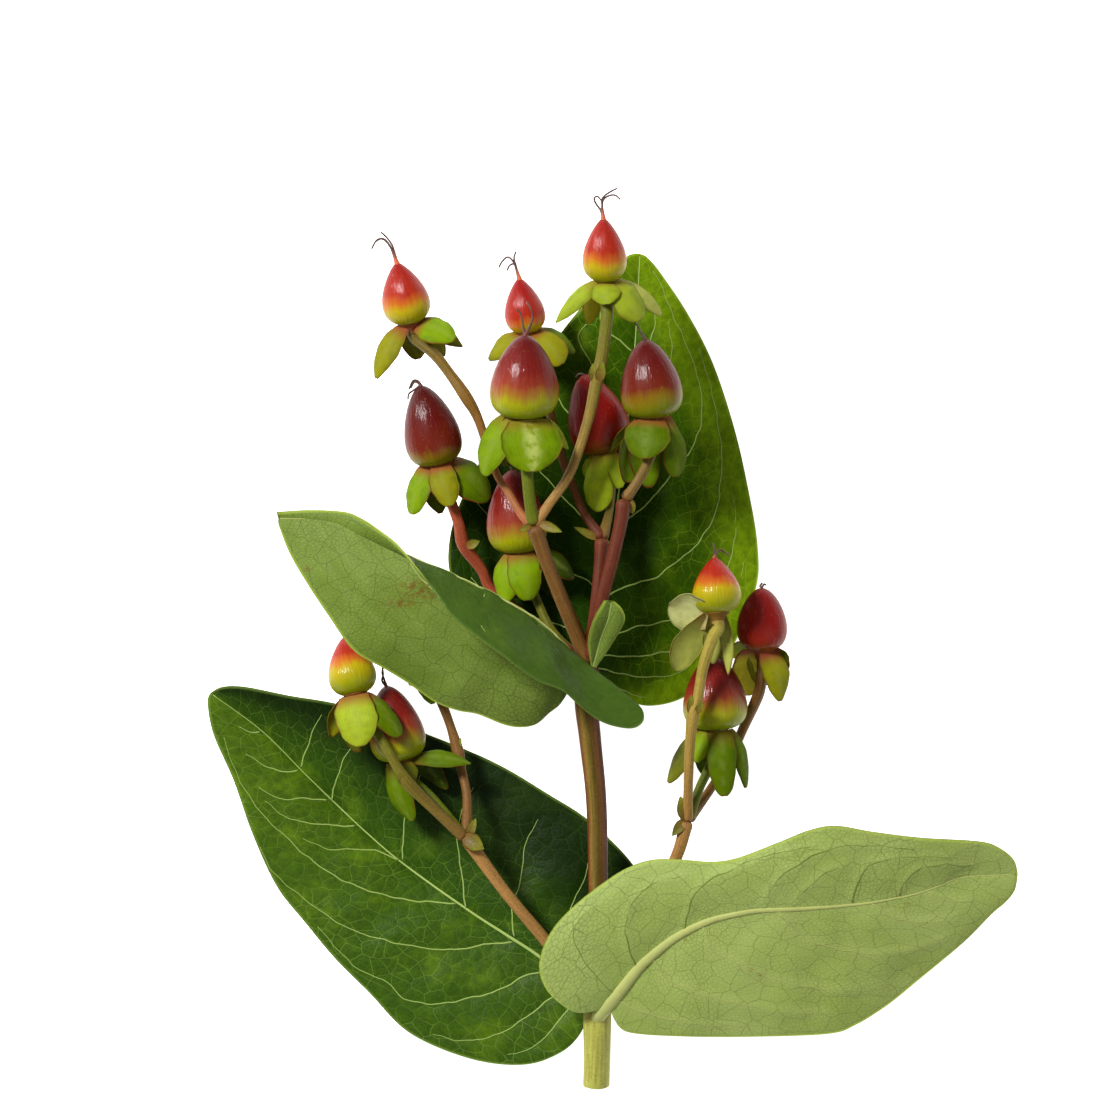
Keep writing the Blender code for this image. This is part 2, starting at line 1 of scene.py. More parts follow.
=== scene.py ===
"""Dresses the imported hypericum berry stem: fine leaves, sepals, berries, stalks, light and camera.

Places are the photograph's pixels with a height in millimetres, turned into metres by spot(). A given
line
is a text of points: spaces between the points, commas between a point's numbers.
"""

import math
import random
from collections import namedtuple

import bpy
import numpy as np
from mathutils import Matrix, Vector, kdtree, noise


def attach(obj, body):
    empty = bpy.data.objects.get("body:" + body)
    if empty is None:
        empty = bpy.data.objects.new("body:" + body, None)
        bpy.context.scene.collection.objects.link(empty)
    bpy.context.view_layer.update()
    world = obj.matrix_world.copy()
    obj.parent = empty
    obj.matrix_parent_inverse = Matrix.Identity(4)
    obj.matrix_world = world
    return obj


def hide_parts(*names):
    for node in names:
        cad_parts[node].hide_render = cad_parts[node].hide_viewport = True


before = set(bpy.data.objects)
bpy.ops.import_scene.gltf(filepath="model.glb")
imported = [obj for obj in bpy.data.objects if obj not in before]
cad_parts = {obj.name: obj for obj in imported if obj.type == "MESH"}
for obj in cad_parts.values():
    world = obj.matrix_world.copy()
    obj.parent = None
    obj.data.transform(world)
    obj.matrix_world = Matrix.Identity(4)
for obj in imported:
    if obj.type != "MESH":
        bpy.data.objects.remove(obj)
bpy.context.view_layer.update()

MM = 0.001
PIXEL = 0.17 * MM
PHOTO_PIXELS = 1100
ORIGIN_X = 613.4
ORIGIN_Y = 642.7
SEED = 7
TINY = 1e-12
PATH_STEPS = 24

# Leaves: grids of the blades, thickness, and the relief round the veins and between them.
LEAF_GRID = (230, 112)
YOUNG_LEAF_GRID = (60, 36)
LEAF_THICKNESS = 0.36 * MM
QUILT_REACH = 0.9
QUILT_DEPTH = 0.16 * MM
BROAD_WAVE = (0.012, 0.45 * MM)
SMALL_WAVE = (0.0052, 0.34 * MM)
VEIN_STEP = 0.45 * MM
VEIN_RADII = (0.145, 0.045)
VEIN_SINK = 0.05
TOP_VEIN_LIFT = 0.025 * MM
KINK_START = (3, 6)
KINK_GAP = (4, 7)
KINK_SIZE = (0.05, 0.14)
KINK_SHAPE = (0.25, 0.75, 1.0, 0.75, 0.25)
RIB_TIP = 0.09
FOLDED_RIB_SHARE = 0.62
RIB_RANK = 1.0
VEIN_RANK = 0.65
FAINT_VEIN_RANK = 0.15
VEIN_SIDES = 8
PETIOLE_SIDES = 16
PETIOLE_RINGS = 12
PETIOLE_RADIUS = 1.25 * MM

# Sepals and the cups that they grow from. Pairs are the ends of each sepal's seeded draws.
SEPAL_GRID = (26, 16)
SEPAL_THICKNESS = 0.34 * MM
SEPAL_ROOT_DROP = 0.3 * MM
SEPAL_ROOT_INSET = 0.55 * MM
SEPAL_ARCH = 0.12
SEPAL_CUP = (0.16, 0.34)
SEPAL_CURL = (-0.05, 0.08)
SEPAL_TWIST = (-0.12, 0.12)
SEPAL_PUCKER = 0.07
SEPAL_RIPPLES = (0.035, 0.02)
SEPAL_TONE = (0.9, 1.1)
RIM_THINNING = 0.35
RECEPTACLE_HEIGHT = 1.3 * MM
RECEPTACLE_RINGS = 9
RECEPTACLE_SIDES = 20
# Width above which a sepal gets a strong painted highlight down its middle, and the strengths of that
# highlight.
WIDE_SEPAL = 9
WIDE_HIGHLIGHT = 0.9
PLAIN_HIGHLIGHT = 0.15

# Berries: an egg has a bulge towards its seat and a fullness of its sides.
BERRY_RINGS = 56
BERRY_SIDES = 72
BERRY_SINK = 0.25 * MM
BERRY_TIP_RADIUS = 0.22 * MM
LOBE_DEPTH = 0.012
YOUNG_SHAPE = (0.62, 0.7)
RIPE_SHAPE = (0.576, 0.54)
OWN_SHAPES = {"side_right": (0.66, 0.5)}
STYLE_RADIUS = 0.17 * MM
STYLE_RINGS = 26
STYLE_SIDES = 8
STYLE_ROOT = 1.0 * MM
STYLE_SPREAD = 0.25 * MM
STYLE_DROP = 0.35
STYLE_TAPER = ((0, 0.2, 0.4, 1), (3.6, 1.9, 1.1, 0.85))

# Stalks, with how much and how far they swell at joints, and their bracts.
TRUNK_SIDES = 32
STALK_SIDES = 20
STALK_STEP = 0.6 * MM
STALK_NECK = 1.4 * MM
STALK_GAP = 0.02 * MM
ROOT_SWELL = (0.16, 1.1 * MM)
END_SWELL = (0.14, 1.2 * MM)
JOINT_STAIN = (0.45, 0.9 * MM)
STALK_RIDGES = (0.035, 0.02)
CUT_END_SHARE = (0.16, 0.06)
BRACT_GRID = (14, 8)
BRACT_THICKNESS = 0.3 * MM

# The white floor, the light and the camera, in metres and watts.
FLOOR_HALF = 1.5
FLOOR_GLOW = 0.92
WORLD_LIGHT = 0.28
LIGHT_AIM = Vector((-0.01, 0.0, 0.01))
WINDOW = ("window", (-0.8, 0.65, 1.15), (0.28, 0.42), 32)
FILL = ("fill", (0.9, -0.6, 1.2), (1.2, 1.2), 3)
CAMERA_DISTANCE = 4.0
CAMERA_FOCUS_HEIGHT = 12 * MM
SENSOR_MM = 36

# Each fruit: seat, tip, width, skin, how far its redness comes down, redness of its calyx.
Fruit = namedtuple("Fruit", "seat tip width skin redness blush")
FRUITS = {
    "top": Fruit((605, 281, 25.0), (603, 219, 27.5), 7.6, "young", -0.02, 0.4),
    "upper_left": Fruit((411, 323, 20.0), (397, 263, 22.0), 8.2, "young", 0.0, 0.9),
    "upper_middle": Fruit((528, 332, 12.6), (519, 278, 14.0), 7.0, "young", 0.18, 0.8),
    "front": Fruit((524, 416, 27.0), (525, 336, 30.0), 11.8, "ripe", 0.0, 0.45),
    "left": Fruit((438, 463, 15.2), (421, 386, 17.0), 9.7, "dark", 0.0, 0.9),
    "middle_right": Fruit((606, 450, 12.6), (584, 375, 14.6), 10.6, "red", 0.08, 0.6),
    "right": Fruit((654, 416, 19.8), (645, 340, 21.6), 10.6, "dark", -0.15, 0.75),
    "middle_low": Fruit((519, 551, 12.4), (512, 470, 14.0), 10.3, "ripe", 0.06, 0.75),
    "side_upper": Fruit((717, 613, 22.4), (714, 557, 21.4), 8.4, "young", -0.14, 0.45),
    "side_right": Fruit((762, 649, 12.6), (762, 588, 14.0), 8.6, "red", 0.1, 1.0),
    "side_lower": Fruit((716, 728, 12.0), (713, 655, 13.2), 11.2, "ripe", 0.0, 0.35),
    "low_left": Fruit((356, 694, 14.6), (344, 637, 13.4), 8.3, "young", -0.16, 0.8),
    "low_middle": Fruit((402, 759, 9.4), (386, 686, 10.4), 9.6, "ripe", 0.02, 0.4),
    "low_hidden": Fruit((428, 668, 8.0), (413, 612, 8.6), 8.0, "ripe", -0.1, 0.3),
}

# The five sepals of each fruit: x, y and height of the tip, width, outline and colour.
SEPALS = {
    "top": "606,305,28.2,4.9,round,lime 558,325,24,3.7,long,lime 590,326,21.4,3.9,oval,yellow "
        "641,320,26,6.4,broad,lime 661,316,21.6,3.6,oval,pale",
    "upper_left": "377,379,20.4,4.4,oval,straw 455,341,23.4,5.6,oval,green 461,349,18.4,4,long,olive "
        "443,358,16.6,4.6,oval,straw 418,359,16.4,4.6,round,olive",
    "upper_middle": "562,364,15.4,6.2,broad,straw 575,352,11.2,5,oval,leaf 490,361,12.6,4.6,oval,straw "
        "512,364,9.4,4.6,oval,leaf 542,370,8.8,4.6,oval,leaf",
    "front": "534,472,29.8,10.4,round,green 483,475,26.6,6.4,round,green 566,451,25,3.2,long,lime "
        "549,468,22.8,6,oval,leaf 508,467,24.4,5.2,oval,olive",
    "left": "414,515,15.8,5.4,round,green 450,507,18.2,4.9,round,straw 490,499,14.8,7.4,round,leaf "
        "440,513,11.2,5,oval,leaf 468,496,10.6,5,oval,leaf",
    "middle_right": "600,512,15,5.2,broad,bright 588,478,11.6,4.2,oval,bright "
        "620,488,15,3.8,round,bright 611,498,9,4.6,oval,leaf 632,468,9.8,4.4,oval,leaf",
    "right": "645,459,23.4,8,round,leaf 677,477,19.6,4.8,broad,leaf 630,484,17.6,6,round,leaf "
        "650,488,16.6,6.4,round,leaf 610,454,17.6,2.8,long,straw",
    "middle_low": "506,604,14,5,oval,green 528,600,15.4,5.8,strap,green 574,578,13.4,5.4,oval,deep "
        "553,600,10.2,5.6,oval,deep 518,598,9.8,4.8,oval,leaf",
    "side_upper": "668,608,23,8.4,round,sage 675,670,21.4,5.8,broad,pale 728,675,21.6,2.4,long,pale "
        "713,664,19.4,3.8,oval,pale 722,660,17.6,4,oval,olive",
    "side_right": "728,656,8,4.6,fan,lime 748,697,7.4,7.2,fan,yellow 780,701,13,5.2,fan,straw "
        "788,668,10.6,4.4,fan,leaf 762,688,7.4,5.4,fan,straw",
    "side_lower": "697,763,14.4,4,oval,green 671,784,10.8,4.8,oval,olive 724,796,14.8,5,strap,leaf "
        "745,788,11.8,3.4,oval,leaf 706,778,9,4.2,oval,leaf",
    "low_left": "330,736,14,4,oval,straw 362,746,17.8,7.4,round,lime 399,738,17.2,5.2,broad,leaf "
        "358,752,12.6,5.2,round,olive 343,738,10.4,4.4,oval,leaf",
    "low_middle": "471,765,12.2,3.6,long,leaf 413,821,8.6,5.4,round,leaf 447,789,6,4.4,oval,deep "
        "412,785,12,3.2,oval,olive 397,792,6.8,4,oval,leaf",
    "low_hidden": "433,704,9.6,4,oval,leaf 411,686,9.6,4,oval,leaf 452,690,8.2,4.4,oval,leaf "
        "442,690,6.4,4.4,oval,leaf 406,672,6.6,4,oval,leaf",
}

# Each stalk: points of x, y, height and radius, the fruit at its end, its colours at both ends.
STALKS = [
    ("596,1086,1.98,2.2 597,1050,4.3,2.2 597,1012,6.5,2.3 598,950,8,1.75 598,880,9.6,1.65 "
     "596,800,11.6,1.7 590,740,13.4,1.8 586,700,14.8,1.95 588,663,16.2,2", None, "brown", "olive"),
    ("588,664,16.2,1.6 578,638,17.6,1.3 562,600,20.6,1.2 546,560,23.2,1.15 534,525,25,1.35",
     None, "brown", "brown"),
    ("534,525,25,1 522,515,24.2,0.75 508,492,22.8,0.65 495,470,21.6,0.65 479,421,21.2,0.75 "
     "466,397,21.6,1 450,374,21,0.85 434,354,20.4,0.9", "upper_left", "rust", "olive"),
    ("534,526,25,1.1 530,500,25.6,1 527,470,26,1 525,444,26.4,1", "front", "green", "green"),
    ("534,526,25,1 548,506,24.6,0.8 570,473,24,0.8 587,424,24,0.85 597,380,24.4,1.05 603,350,24.8,1 "
     "607,315,25,1.05", "top", "rose", "green"),
    ("589,662,16.4,1.4 594,622,17.2,1.05 599,574,17.4,1 602,538,17,1.2", None, "wine", "wine"),
    ("602,539,17,1 584,513,16,0.7 572,484,15,0.7 563,461,14.5,0.7 552,420,14,0.7 542,375,13.2,0.8 "
     "534,356,12.8,0.85", "upper_middle", "wine", "tan"),
    ("602,539,17,1 609,512,14.4,0.7 611,490,12.6,0.75 610,476,12,0.85",
     "middle_right", "tan", "green"),
    ("590,660,17,1.4 601,603,19,1.1 611,564,20,1.1 620,526,20.4,1.1 624,499,20.4,1.25",
     None, "wine", "wine"),
    ("624,500,20.4,1 632,490,20.4,0.85 643,472,20.2,0.85 653,448,19.8,0.9", "right", "tan", "olive"),
    ("586,664,15.8,1.3 560,645,14.6,0.9 540,628,13.4,0.9 494,592,11.8,0.9 482,570,12.4,0.9 "
     "464,545,13.6,1.1 459,524,14.6,0.9 450,499,14.8,0.9", "left", "red", "red"),
    ("586,664,15.4,1.2 566,646,13.8,0.8 550,628,13,0.75 538,603,12.2,0.75 528,580,12,0.85",
     "middle_low", "olive", "green"),
    ("594,1006,7,1.4 570,972,8.4,1.1 545,940,9.2,1 505,892,10.6,0.95 466,838,12,1.15",
     None, "rose", "rose"),
    ("465,838,12,1 432,807,14.2,0.9 407,782,15.6,1.1 398,768,15.8,0.85 387,749,15.8,0.85 "
     "370,722,15.2,0.9", "low_left", "tan", "green"),
    ("464,837,12,0.95 440,806,11.4,0.7 424,790,10.4,0.75", "low_middle", "green", "green"),
    ("466,838,11.8,1 467,798,9.8,0.75 461,768,8.4,0.8 458,752,8,1 451,728,7.8,0.75 442,704,7.6,0.8",
     "low_hidden", "brown", "brown"),
    ("602,1004,7.2,1.4 622,960,8.6,1.1 645,915,9.8,1.05 676,858,11.6,1 687,820,12.4,1.15",
     None, "rose", "rose"),
    ("687,821,12.4,1 688,795,14.6,0.8 688.5,771,16.8,0.8 690,740,18.8,0.85 693,712,20.2,1.05 "
     "697,700,20.8,0.85 703,666,22,0.9 713,636,22.4,1", "side_upper", "rose", "straw"),
    ("688,820,12.2,0.95 700,787,11.8,0.75 713,760,11.8,0.85", "side_lower", "green", "green"),
    ("688,820,12.2,0.95 706,796,8.6,0.75 728,762,6.4,0.75 744,727,8,0.8 758,695,11.8,0.95 "
     "761,678,13,0.9", "side_right", "brown", "brown"),
]

# Bracts at the joints of the stalks: root, tip, width.
BRACTS = [
    ((541, 524, 25.4), (562, 532, 26.4), 1.7), ((530, 526, 25.4), (520, 531, 25.8), 1.2),
    ((597, 538, 17.2), (574, 527, 17.8), 1.4), ((468, 546, 14.8), (480, 541, 15.4), 1.6),
    ((628, 500, 20.4), (633, 514, 19.8), 1.8), ((593, 380, 24.8), (593, 364, 25.2), 1.5),
    ((599, 380, 25.2), (603, 362, 26.2), 1.7), ((686, 818, 13.2), (680, 796, 14.2), 2.4),
    ((684, 821, 12.8), (672, 836, 13.2), 1.8), ((690, 712, 20.6), (691, 694, 21.4), 1.3),
    ((696, 712, 20.8), (703, 702, 22.2), 1.2), ((466, 838, 12.8), (484, 849, 13.8), 3.0),
    ((468, 836, 12.2), (476, 818, 12.4), 1.6), ((404, 783, 15.8), (396, 770, 17.2), 1.3),
    ((455, 752, 8.2), (461, 738, 8.4), 1.2),
]

# Each leaf: midrib and both margins from base to tip, as x, y and height, how far the blade
# arches and how wide the midrib is, in millimetres, which side looks up, and its slot.
LEAVES = {
    "leaf_upper_back": {
        "midrib": "590,668,12.9 595,640,9.6 602,600,6.6 612,540,3.9 622,470,2.5 630,400,1.9 "
            "636,333,1.7 640,253,2.7",
        "left": "584,668,12.6 556,664,10.4 518,648,8.2 478,620,6.6 452,580,6 449,543,5.6 461,500,5 "
            "490,443,4.2 525,384,3.4 562,331,3 602,282,2.8 624,258,2.8 634,253,2.8 640,253,2.7",
        "right": "594,676,12.2 620,696,9.4 650,706,6.6 690,694,4.6 730,652,3 756,590,1.8 758,545,1.1 "
            "748,485,0.5 734,425,0.3 713,362,0.6 688,313,1.1 662,274,1.8 648,257,2.5 640,253,2.7",
        "hump": 1.4, "rib": 0.3, "up": "top", "slot": "leaf_top",
    },
    "leaf_upper_front": {
        "midrib": "583,665,19 562,641,21.4 543,623,23 519,607,24.2 496,595,25 469,581,25.4 "
            "437,567,25.2 410,556,24.6 385,546,23.8 361,534,22.8 330,521,21.6 279,518,20",
        "left": "578,670,18.2 570,688,16.2 560,704,15 549,713,14.6 536,724,14.6 520,727,15 "
            "503,724,15.5 478,714,16.2 457,710,16.8 434,701,17.6 407,682,19 384,668,20.2 354,650,21.2 "
            "330,617,21.4 308,584,21 290,553,20.4 279,525,19.8",
        "right": "590,671,19.8 609,685,20.2 630,699,20.8 642,709,21.4 643,721,22 632,728,22.6 "
            "611,725,23.4 594,717,24.4 576,702,26.2 562,690,27.6 541,682,29 523,671,30.2 505,657,31.2 "
            "478,637,31.8 455,619,31.6 439,598,31 425,578,30 412,560,28.6 397,543,26.8 380,530,25.2 "
            "363,519,23.6 345,512,22.4 310,510,21.2 277,512,20.6",
        "hump": 0.9, "rib": 0.25, "up": "under", "slot": "leaf_underside",
    },
    "leaf_lower_left": {
        "midrib": "590,1003,3.5 570,985,2.6 540,958,2 505,935,1.5 468,911,1 402,864,0.32 359,827,0.6 "
            "305,775,1.8 262,732,3.4 210,693,6.2",
        "left": "586,1011,3.4 582,1032,2.9 562,1053,2.3 524,1066,1.9 470,1060,1.7 409,1034,1.7 "
            "368,993,1.8 334,959,2 305,924,2.3 276,887,2.7 252,835,3.4 233,781,4.3 213,735,5.4 "
            "207,703,6.1 210,693,6.2",
        "right": "597,998,3.3 624,984,3 648,950,2.7 652,905,2.5 632,864,2.5 589,821,2.6 549,795,2.8 "
            "506,769,3 468,751,3.2 428,735,3.6 380,716,4.4 332,703,5.4 290,696,6.4 245,687,7 "
            "222,687,6.8 210,693,6.2",
        "hump": 1.0, "rib": 0.34, "up": "top", "slot": "leaf_top",
    },
    "leaf_lower_right": {
        "midrib": "608,1006,9.8 624,986,11.2 644,963,12.9 676,937,14.8 712,919,16.2 758,909,17.2 "
            "807,907,17.4 855,904,16.6 904,896,15.2 937,886,14 963,877,13 1018,874,11.5",
        "left": "602,1010,9.8 579,1013,10.6 562,1005,11.6 546,989,12.6 539,969,13.4 543,947,14.2 "
            "556,924,15 579,901,15.8 605,881,16.6 628,867,17.4 654,859,18.2 682,859,18.8 712,861,19.4 "
            "738,857,20 777,842,20.6 810,829,20.8 836,825,20.6 872,831,19.6 920,837,17.8 979,841,15.2 "
            "1000,848,14 1014,860,12.4 1018,874,11.5",
        "right": "613,1012,9.4 619,1027,8.8 636,1034,8.4 690,1037,8.6 758,1037,9 829,1034,9.4 "
            "856,1025,9.6 888,1005,9.9 920,979,10.2 963,943,10.6 992,914,10.9 1006,902,11 "
            "1015,890,11.2 1018,874,11.5",
        "petiole": "597,1020,7.4 601,1014,9",
        "hump": 1.2, "rib": 1.15, "up": "under", "slot": "leaf_underside",
    },
    "leaf_young": {
        "midrib": "593,667,18.9 600,642,21 608,620,22.4 611,601,23",
        "left": "591,665,19.3 588,642,22 593,620,23.6 604,600,23.6",
        "right": "596,667,18.9 611,645,20.2 624,622,21.4 622,609,22.4 614,601,23",
        "hump": 0.2, "rib": 0.2, "up": "top", "slot": "calyx",
    },
}

# Side veins as the photograph shows them, in its pixels, from the midrib outwards.
VEINS = {
    "leaf_upper_back": [
        "606,597 628,586 655,578 672,565 690,552 705,533 716,512 720,485 722,455 719,430 714,400 "
        "707,372 697,345",
        "617,527 630,518 652,499 668,479 684,460 696,440 702,415 700,385 692,358 682,334 672,312 "
        "661,284 652,268",
        "592,656 612,656 636,657 660,653 684,650 704,640 722,622 738,590 744,560",
        "598,640 617,634 636,627 655,624 682,616 703,603 722,580 733,550 736,520 732,490",
        "594,668 612,672 640,677 668,676 690,668",
        "598,674 612,684 630,694 648,698",
        "628,440 640,428 656,404 667,380 672,350 668,318",
        "633,372 645,352 654,330 656,300",
        "597,640 585,640 568,628 548,622 520,612 490,600 470,575",
        "604,600 588,582 571,573 548,562 520,540 492,520 476,500",
        "613,548 598,530 575,510 548,480 526,452 512,420 520,400",
        "622,478 608,462 588,440 566,410 552,382 556,352 574,338",
        "629,412 616,400 598,376 584,350 578,334 592,320 606,304",
        "634,352 622,342 609,332 600,318 606,300 618,284",
    ],
    "leaf_lower_left": [
        "458,905 430,903 405,901 370,892 340,880 318,866 300,852 283,835 268,822 253,803 240,783 "
        "229,757 222,735",
        "515,943 490,945 450,951 412,947 380,940 350,930 322,913 295,893 272,872 258,845",
        "545,972 525,977 497,992 465,1000 437,1005 405,1000 385,982 358,970 335,948 316,925",
        "562,990 540,1008 518,1024 496,1036 462,1042 430,1034",
        "574,1002 562,1018 549,1034 530,1050 505,1056",
        "400,862 375,852 350,850 328,850 300,838",
        "357,827 330,826 305,823 286,818 262,800",
        "329,801 300,799 278,799 256,786",
        "300,771 280,772 262,765 243,752",
        "262,732 248,732 236,726",
        "402,863 403,845 404,822 412,795 424,765",
        "466,911 463,885 460,862 457,838 462,810 474,785",
        "515,940 512,918 513,903 521,880 523,858 528,838 540,818",
        "550,966 556,940 570,910 584,880 592,850",
        "574,990 592,968 610,940 624,910",
        "331,803 336,780 345,757 360,735",
        "300,770 306,750 314,728 322,712",
    ],
    "leaf_lower_right": [
        "684,932 688,912 692,898 708,880 730,870 752,860 780,852 812,846",
        "762,908 768,893 778,878 800,862 824,850 850,845 885,846 915,850",
        "851,904 857,882 868,866 890,858 920,856 950,858",
        "898,897 905,880 920,868 945,864 972,866",
        "638,970 628,945 626,920 636,898 655,882 682,876",
        "616,995 595,975 578,950 574,928 590,908",
        "790,908 806,888 826,872 842,866",
        "776,908 800,934 825,945 852,951 884,953 915,948 945,938",
        "702,924 712,948 735,962 765,975 800,985 845,990 885,985",
        "652,957 668,978 700,993 740,1003 785,1011 825,1013",
        "614,998 632,1008 665,1018 705,1024 745,1026",
        "870,902 895,918 925,922 955,918",
        "926,890 945,900 968,902",
    ],
    "leaf_upper_front": [
        "352,529 380,562 412,590 448,618 485,646 520,668",
        "320,519 340,556 372,590 412,622 455,652 500,680 532,700",
        "298,519 314,552 340,588 376,622 420,656 462,684",
        "486,592 478,616 492,640 520,662",
        "540,622 532,646 548,676",
        "404,554 424,580 456,608 490,630",
    ],
}

# Brown scars on the lower sides: place and half-size in pixels.
SCARS = {
    "leaf_upper_front": "424,592,20,7 402,603,15,4 412,586,12,6 299,583,3,4 380,526,6,4 308,569,3,3",
    "leaf_lower_right": "751,969,2.5,2 760,974,2.5,1.6 907,904,2.5,2 688,938,3,3",
}

# Threads of the dried styles, in the photograph's pixels, from the berry's tip outwards.
STYLES = {
    "top": [
        "603,219 601,212 596,205 594,199 597,197 601,200", "603,219 602,208 602,200 607,194 617,189",
        "603,219 602,209 603,201 609,196 615,196 620,199"],
    "upper_left": [
        "397,263 391,248 384,240 377,240 372,249", "397,263 393,247 387,238 381,232",
        "397,263 390,246 383,239 375,242"],
    "upper_middle": [
        "519,278 516,266 514,258 516,251", "519,278 514,263 508,257 502,261 499,267",
        "519,278 515,265 510,265 507,270"],
    "front": ["525,337 523,326 521,315 517,309", "525,337 530,327 533,318 531,309 527,302"],
    "left": [
        "421,386 418,381 413,381 409,389", "421,386 415,382 411,388", "421,386 414,390 409,394 408,399"],
    "middle_right": ["584,375 579,374 576,377"],
    "right": ["645,340 641,333 637,326 634,321", "645,340 642,337 643,334"],
    "middle_low": ["512,470 510,466"],
    "side_upper": ["714,557 714,549 712,543", "714,557 719,550 724,552 729,556"],
    "side_right": ["762,588 764,584 766,585", "762,588 760,586 762,583"],
    "side_lower": ["713,655 714,650"],
    "low_left": ["344,637 342,632"],
    "low_middle": ["386,686 382,681 383,674 382,666", "386,686 384,679 382,672 384,665"],
    "low_hidden": ["413,612 411,606"],
}


def rgb(red, green, blue):
    """Linear colour from 0 to 255 values as a screen shows them."""
    return tuple((c / 12.92 if c <= 0.04045 else ((c + 0.055) / 1.055) ** 2.4)
                 for c in (red / 255, green / 255, blue / 255))


def read_points(text):
    """The points of a given line."""
    return [tuple(float(number) for number in point.split(",")) for point in text.split()]


def shades(text):
    """Colours, from a text of their red, green and blue as a screen shows them."""
    return [rgb(*numbers) for numbers in read_points(text)]


def named_shades(text):
    """The same by name, from a text of name=red,green,blue."""
    pairs = [entry.split("=") for entry in text.split()]
    return {name: shades(numbers)[0] for name, numbers in pairs}


# Outlines of sepals: where in a half wave they start and end, how blunt, and where they're widest.
OUTLINES = {"oval": (0.14, 0.985, 0.7, 1.0), "round": (0.16, 0.99, 0.55, 1.1),
            "broad": (0.1, 0.99, 0.6, 1.5), "strap": (0.2, 0.993, 0.45, 1.05),
            "long": (0.14, 0.995, 0.9, 0.95), "fan": (0.28, 0.99, 0.65, 1.0)}
# The last, a lighter lime, is painted light for sepals that lie in shade; yellow is a yellow-green,
# partly painted light in the same way.
SEPAL_COLOURS = named_shades(
    "lime=138,152,30 green=108,134,4 leaf=80,102,0 deep=46,62,0 straw=128,126,12 olive=100,102,20 "
    "pale=156,158,70 sage=196,196,124 yellow=196,186,40 bright=166,186,30")

# Bark of the stalks, and of the main stalk from its left side to its right one.
BARK = named_shades(
    "brown=118,82,36 olive=100,90,18 tan=122,92,40 rose=160,118,62 rust=158,92,50 red=146,66,38 "
    "wine=98,42,20 straw=158,146,56 green=92,104,2")
TRUNK_ACROSS = [-1.0, -0.85, -0.6, -0.1, 0.3, 0.6, 0.8, 1.0]
TRUNK_COLOURS = shades("86,34,14 112,66,26 134,108,44 88,74,12 90,62,14 128,88,50 104,44,22 78,24,12")
JOINT_COLOUR = rgb(112, 66, 40)
CUT_END_COLOUR = rgb(172, 172, 78)
BRACT_COLOURS = shades("112,78,30 116,122,26")

# Skin of a berry from its seat to its tip: share of its length, red, green and blue.
BERRY_STOPS = {
    "ripe": "0,112,128,2 0.23,146,146,6 0.34,142,102,26 0.46,132,48,28 0.62,112,22,16 1,84,10,10",
    "dark": "0,108,112,2 0.13,118,92,6 0.26,102,30,12 0.6,86,10,6 1,64,8,5",
    "red": "0,84,76,2 0.14,110,62,6 0.3,132,28,10 0.6,130,14,10 1,112,12,10",
    "young": "0,136,140,4 0.28,172,150,12 0.4,178,92,22 0.54,156,36,16 1,140,18,12",
}
TIP_COLOURS = named_shades("ripe=110,40,26 dark=70,22,14 red=96,30,18 young=196,92,52")


def spot(x, y, height=0):
    """A place on the stem, in metres, from a pixel and a height in millimetres."""
    return Vector(((x - ORIGIN_X) * PIXEL, (ORIGIN_Y - y) * PIXEL, height * MM))


def read_spots(text):
    return [spot(*point) for point in read_points(text)]


class Path:
    """A Catmull-Rom curve through points of any dimension, read by its share of the length."""

    def __init__(self, points):
        knots = np.array([tuple(p) for p in points], dtype=float)
        padded = np.vstack([knots[:1], knots, knots[-1:]])
        t = np.linspace(0, 1, PATH_STEPS, endpoint=False)[:, None]
        pieces = []
        for before, start, end, after in zip(padded, padded[1:], padded[2:], padded[3:]):
            pieces.append(0.5 * (2 * start + (end - before) * t
                                 + (2 * before - 5 * start + 4 * end - after) * t ** 2
                                 + (3 * start - before - 3 * end + after) * t ** 3))
        self.fine = np.vstack([*pieces, knots[-1:]])
        steps = np.linalg.norm(np.diff(self.fine[:, :3], axis=0), axis=1)
        self.reach = np.concatenate([[0], np.cumsum(steps)])
        self.length = self.reach[-1]

    def at(self, share):
        wanted = np.asarray(share) * self.length
        return np.stack([np.interp(wanted, self.reach, c) for c in self.fine.T], axis=-1)


def unit(vectors):
    return vectors / np.maximum(np.linalg.norm(vectors, axis=-1, keepdims=True), TINY)


def smoothed(values, count):
    """The running mean over an odd count of values, with both ends held."""
    return np.convolve(np.pad(values, count // 2, mode="edge"), np.ones(count) / count, mode="valid")


def turns(sides):
    return np.arange(sides) * math.tau / sides


def tree_of(points):
    """A search tree of an array of points."""
    tree = kdtree.KDTree(len(points))
    for number, point in enumerate(points.tolist()):
        tree.insert(point, number)
    tree.balance()
    return tree


def blade_grid(rows, columns):
    """Shares from root to tip, and from -1 at one margin to 1 at the other."""
    return np.meshgrid(np.linspace(0, 1, rows + 1), np.linspace(-1, 1, columns + 1), indexing="ij")


def grid_faces(rows, columns, first, flip):
    """Quads of a grid of (rows + 1) by (columns + 1) points."""
    i, j = np.meshgrid(np.arange(rows), np.arange(columns), indexing="ij")
    a = first + i * (columns + 1) + j
    quads = np.stack([a, a + 1, a + columns + 2, a + columns + 1], axis=-1).reshape(-1, 4)
    return quads[:, ::-1] if flip else quads


def blade_faces(rows, columns, turned):
    """Quads of a closed blade of two grids: its first side, its second side and its rim."""
    index = np.arange((rows + 1) * (columns + 1)).reshape(rows + 1, columns + 1)
    border = np.concatenate([index[0], index[1:, -1], index[-1, -2::-1], index[-2:0:-1, 0]])
    before = np.roll(border, 1)
    rim = np.stack([before, before + index.size, border + index.size, border], axis=-1)
    return (grid_faces(rows, columns, 0, not turned), grid_faces(rows, columns, index.size, turned),
            rim[:, ::-1] if turned else rim)


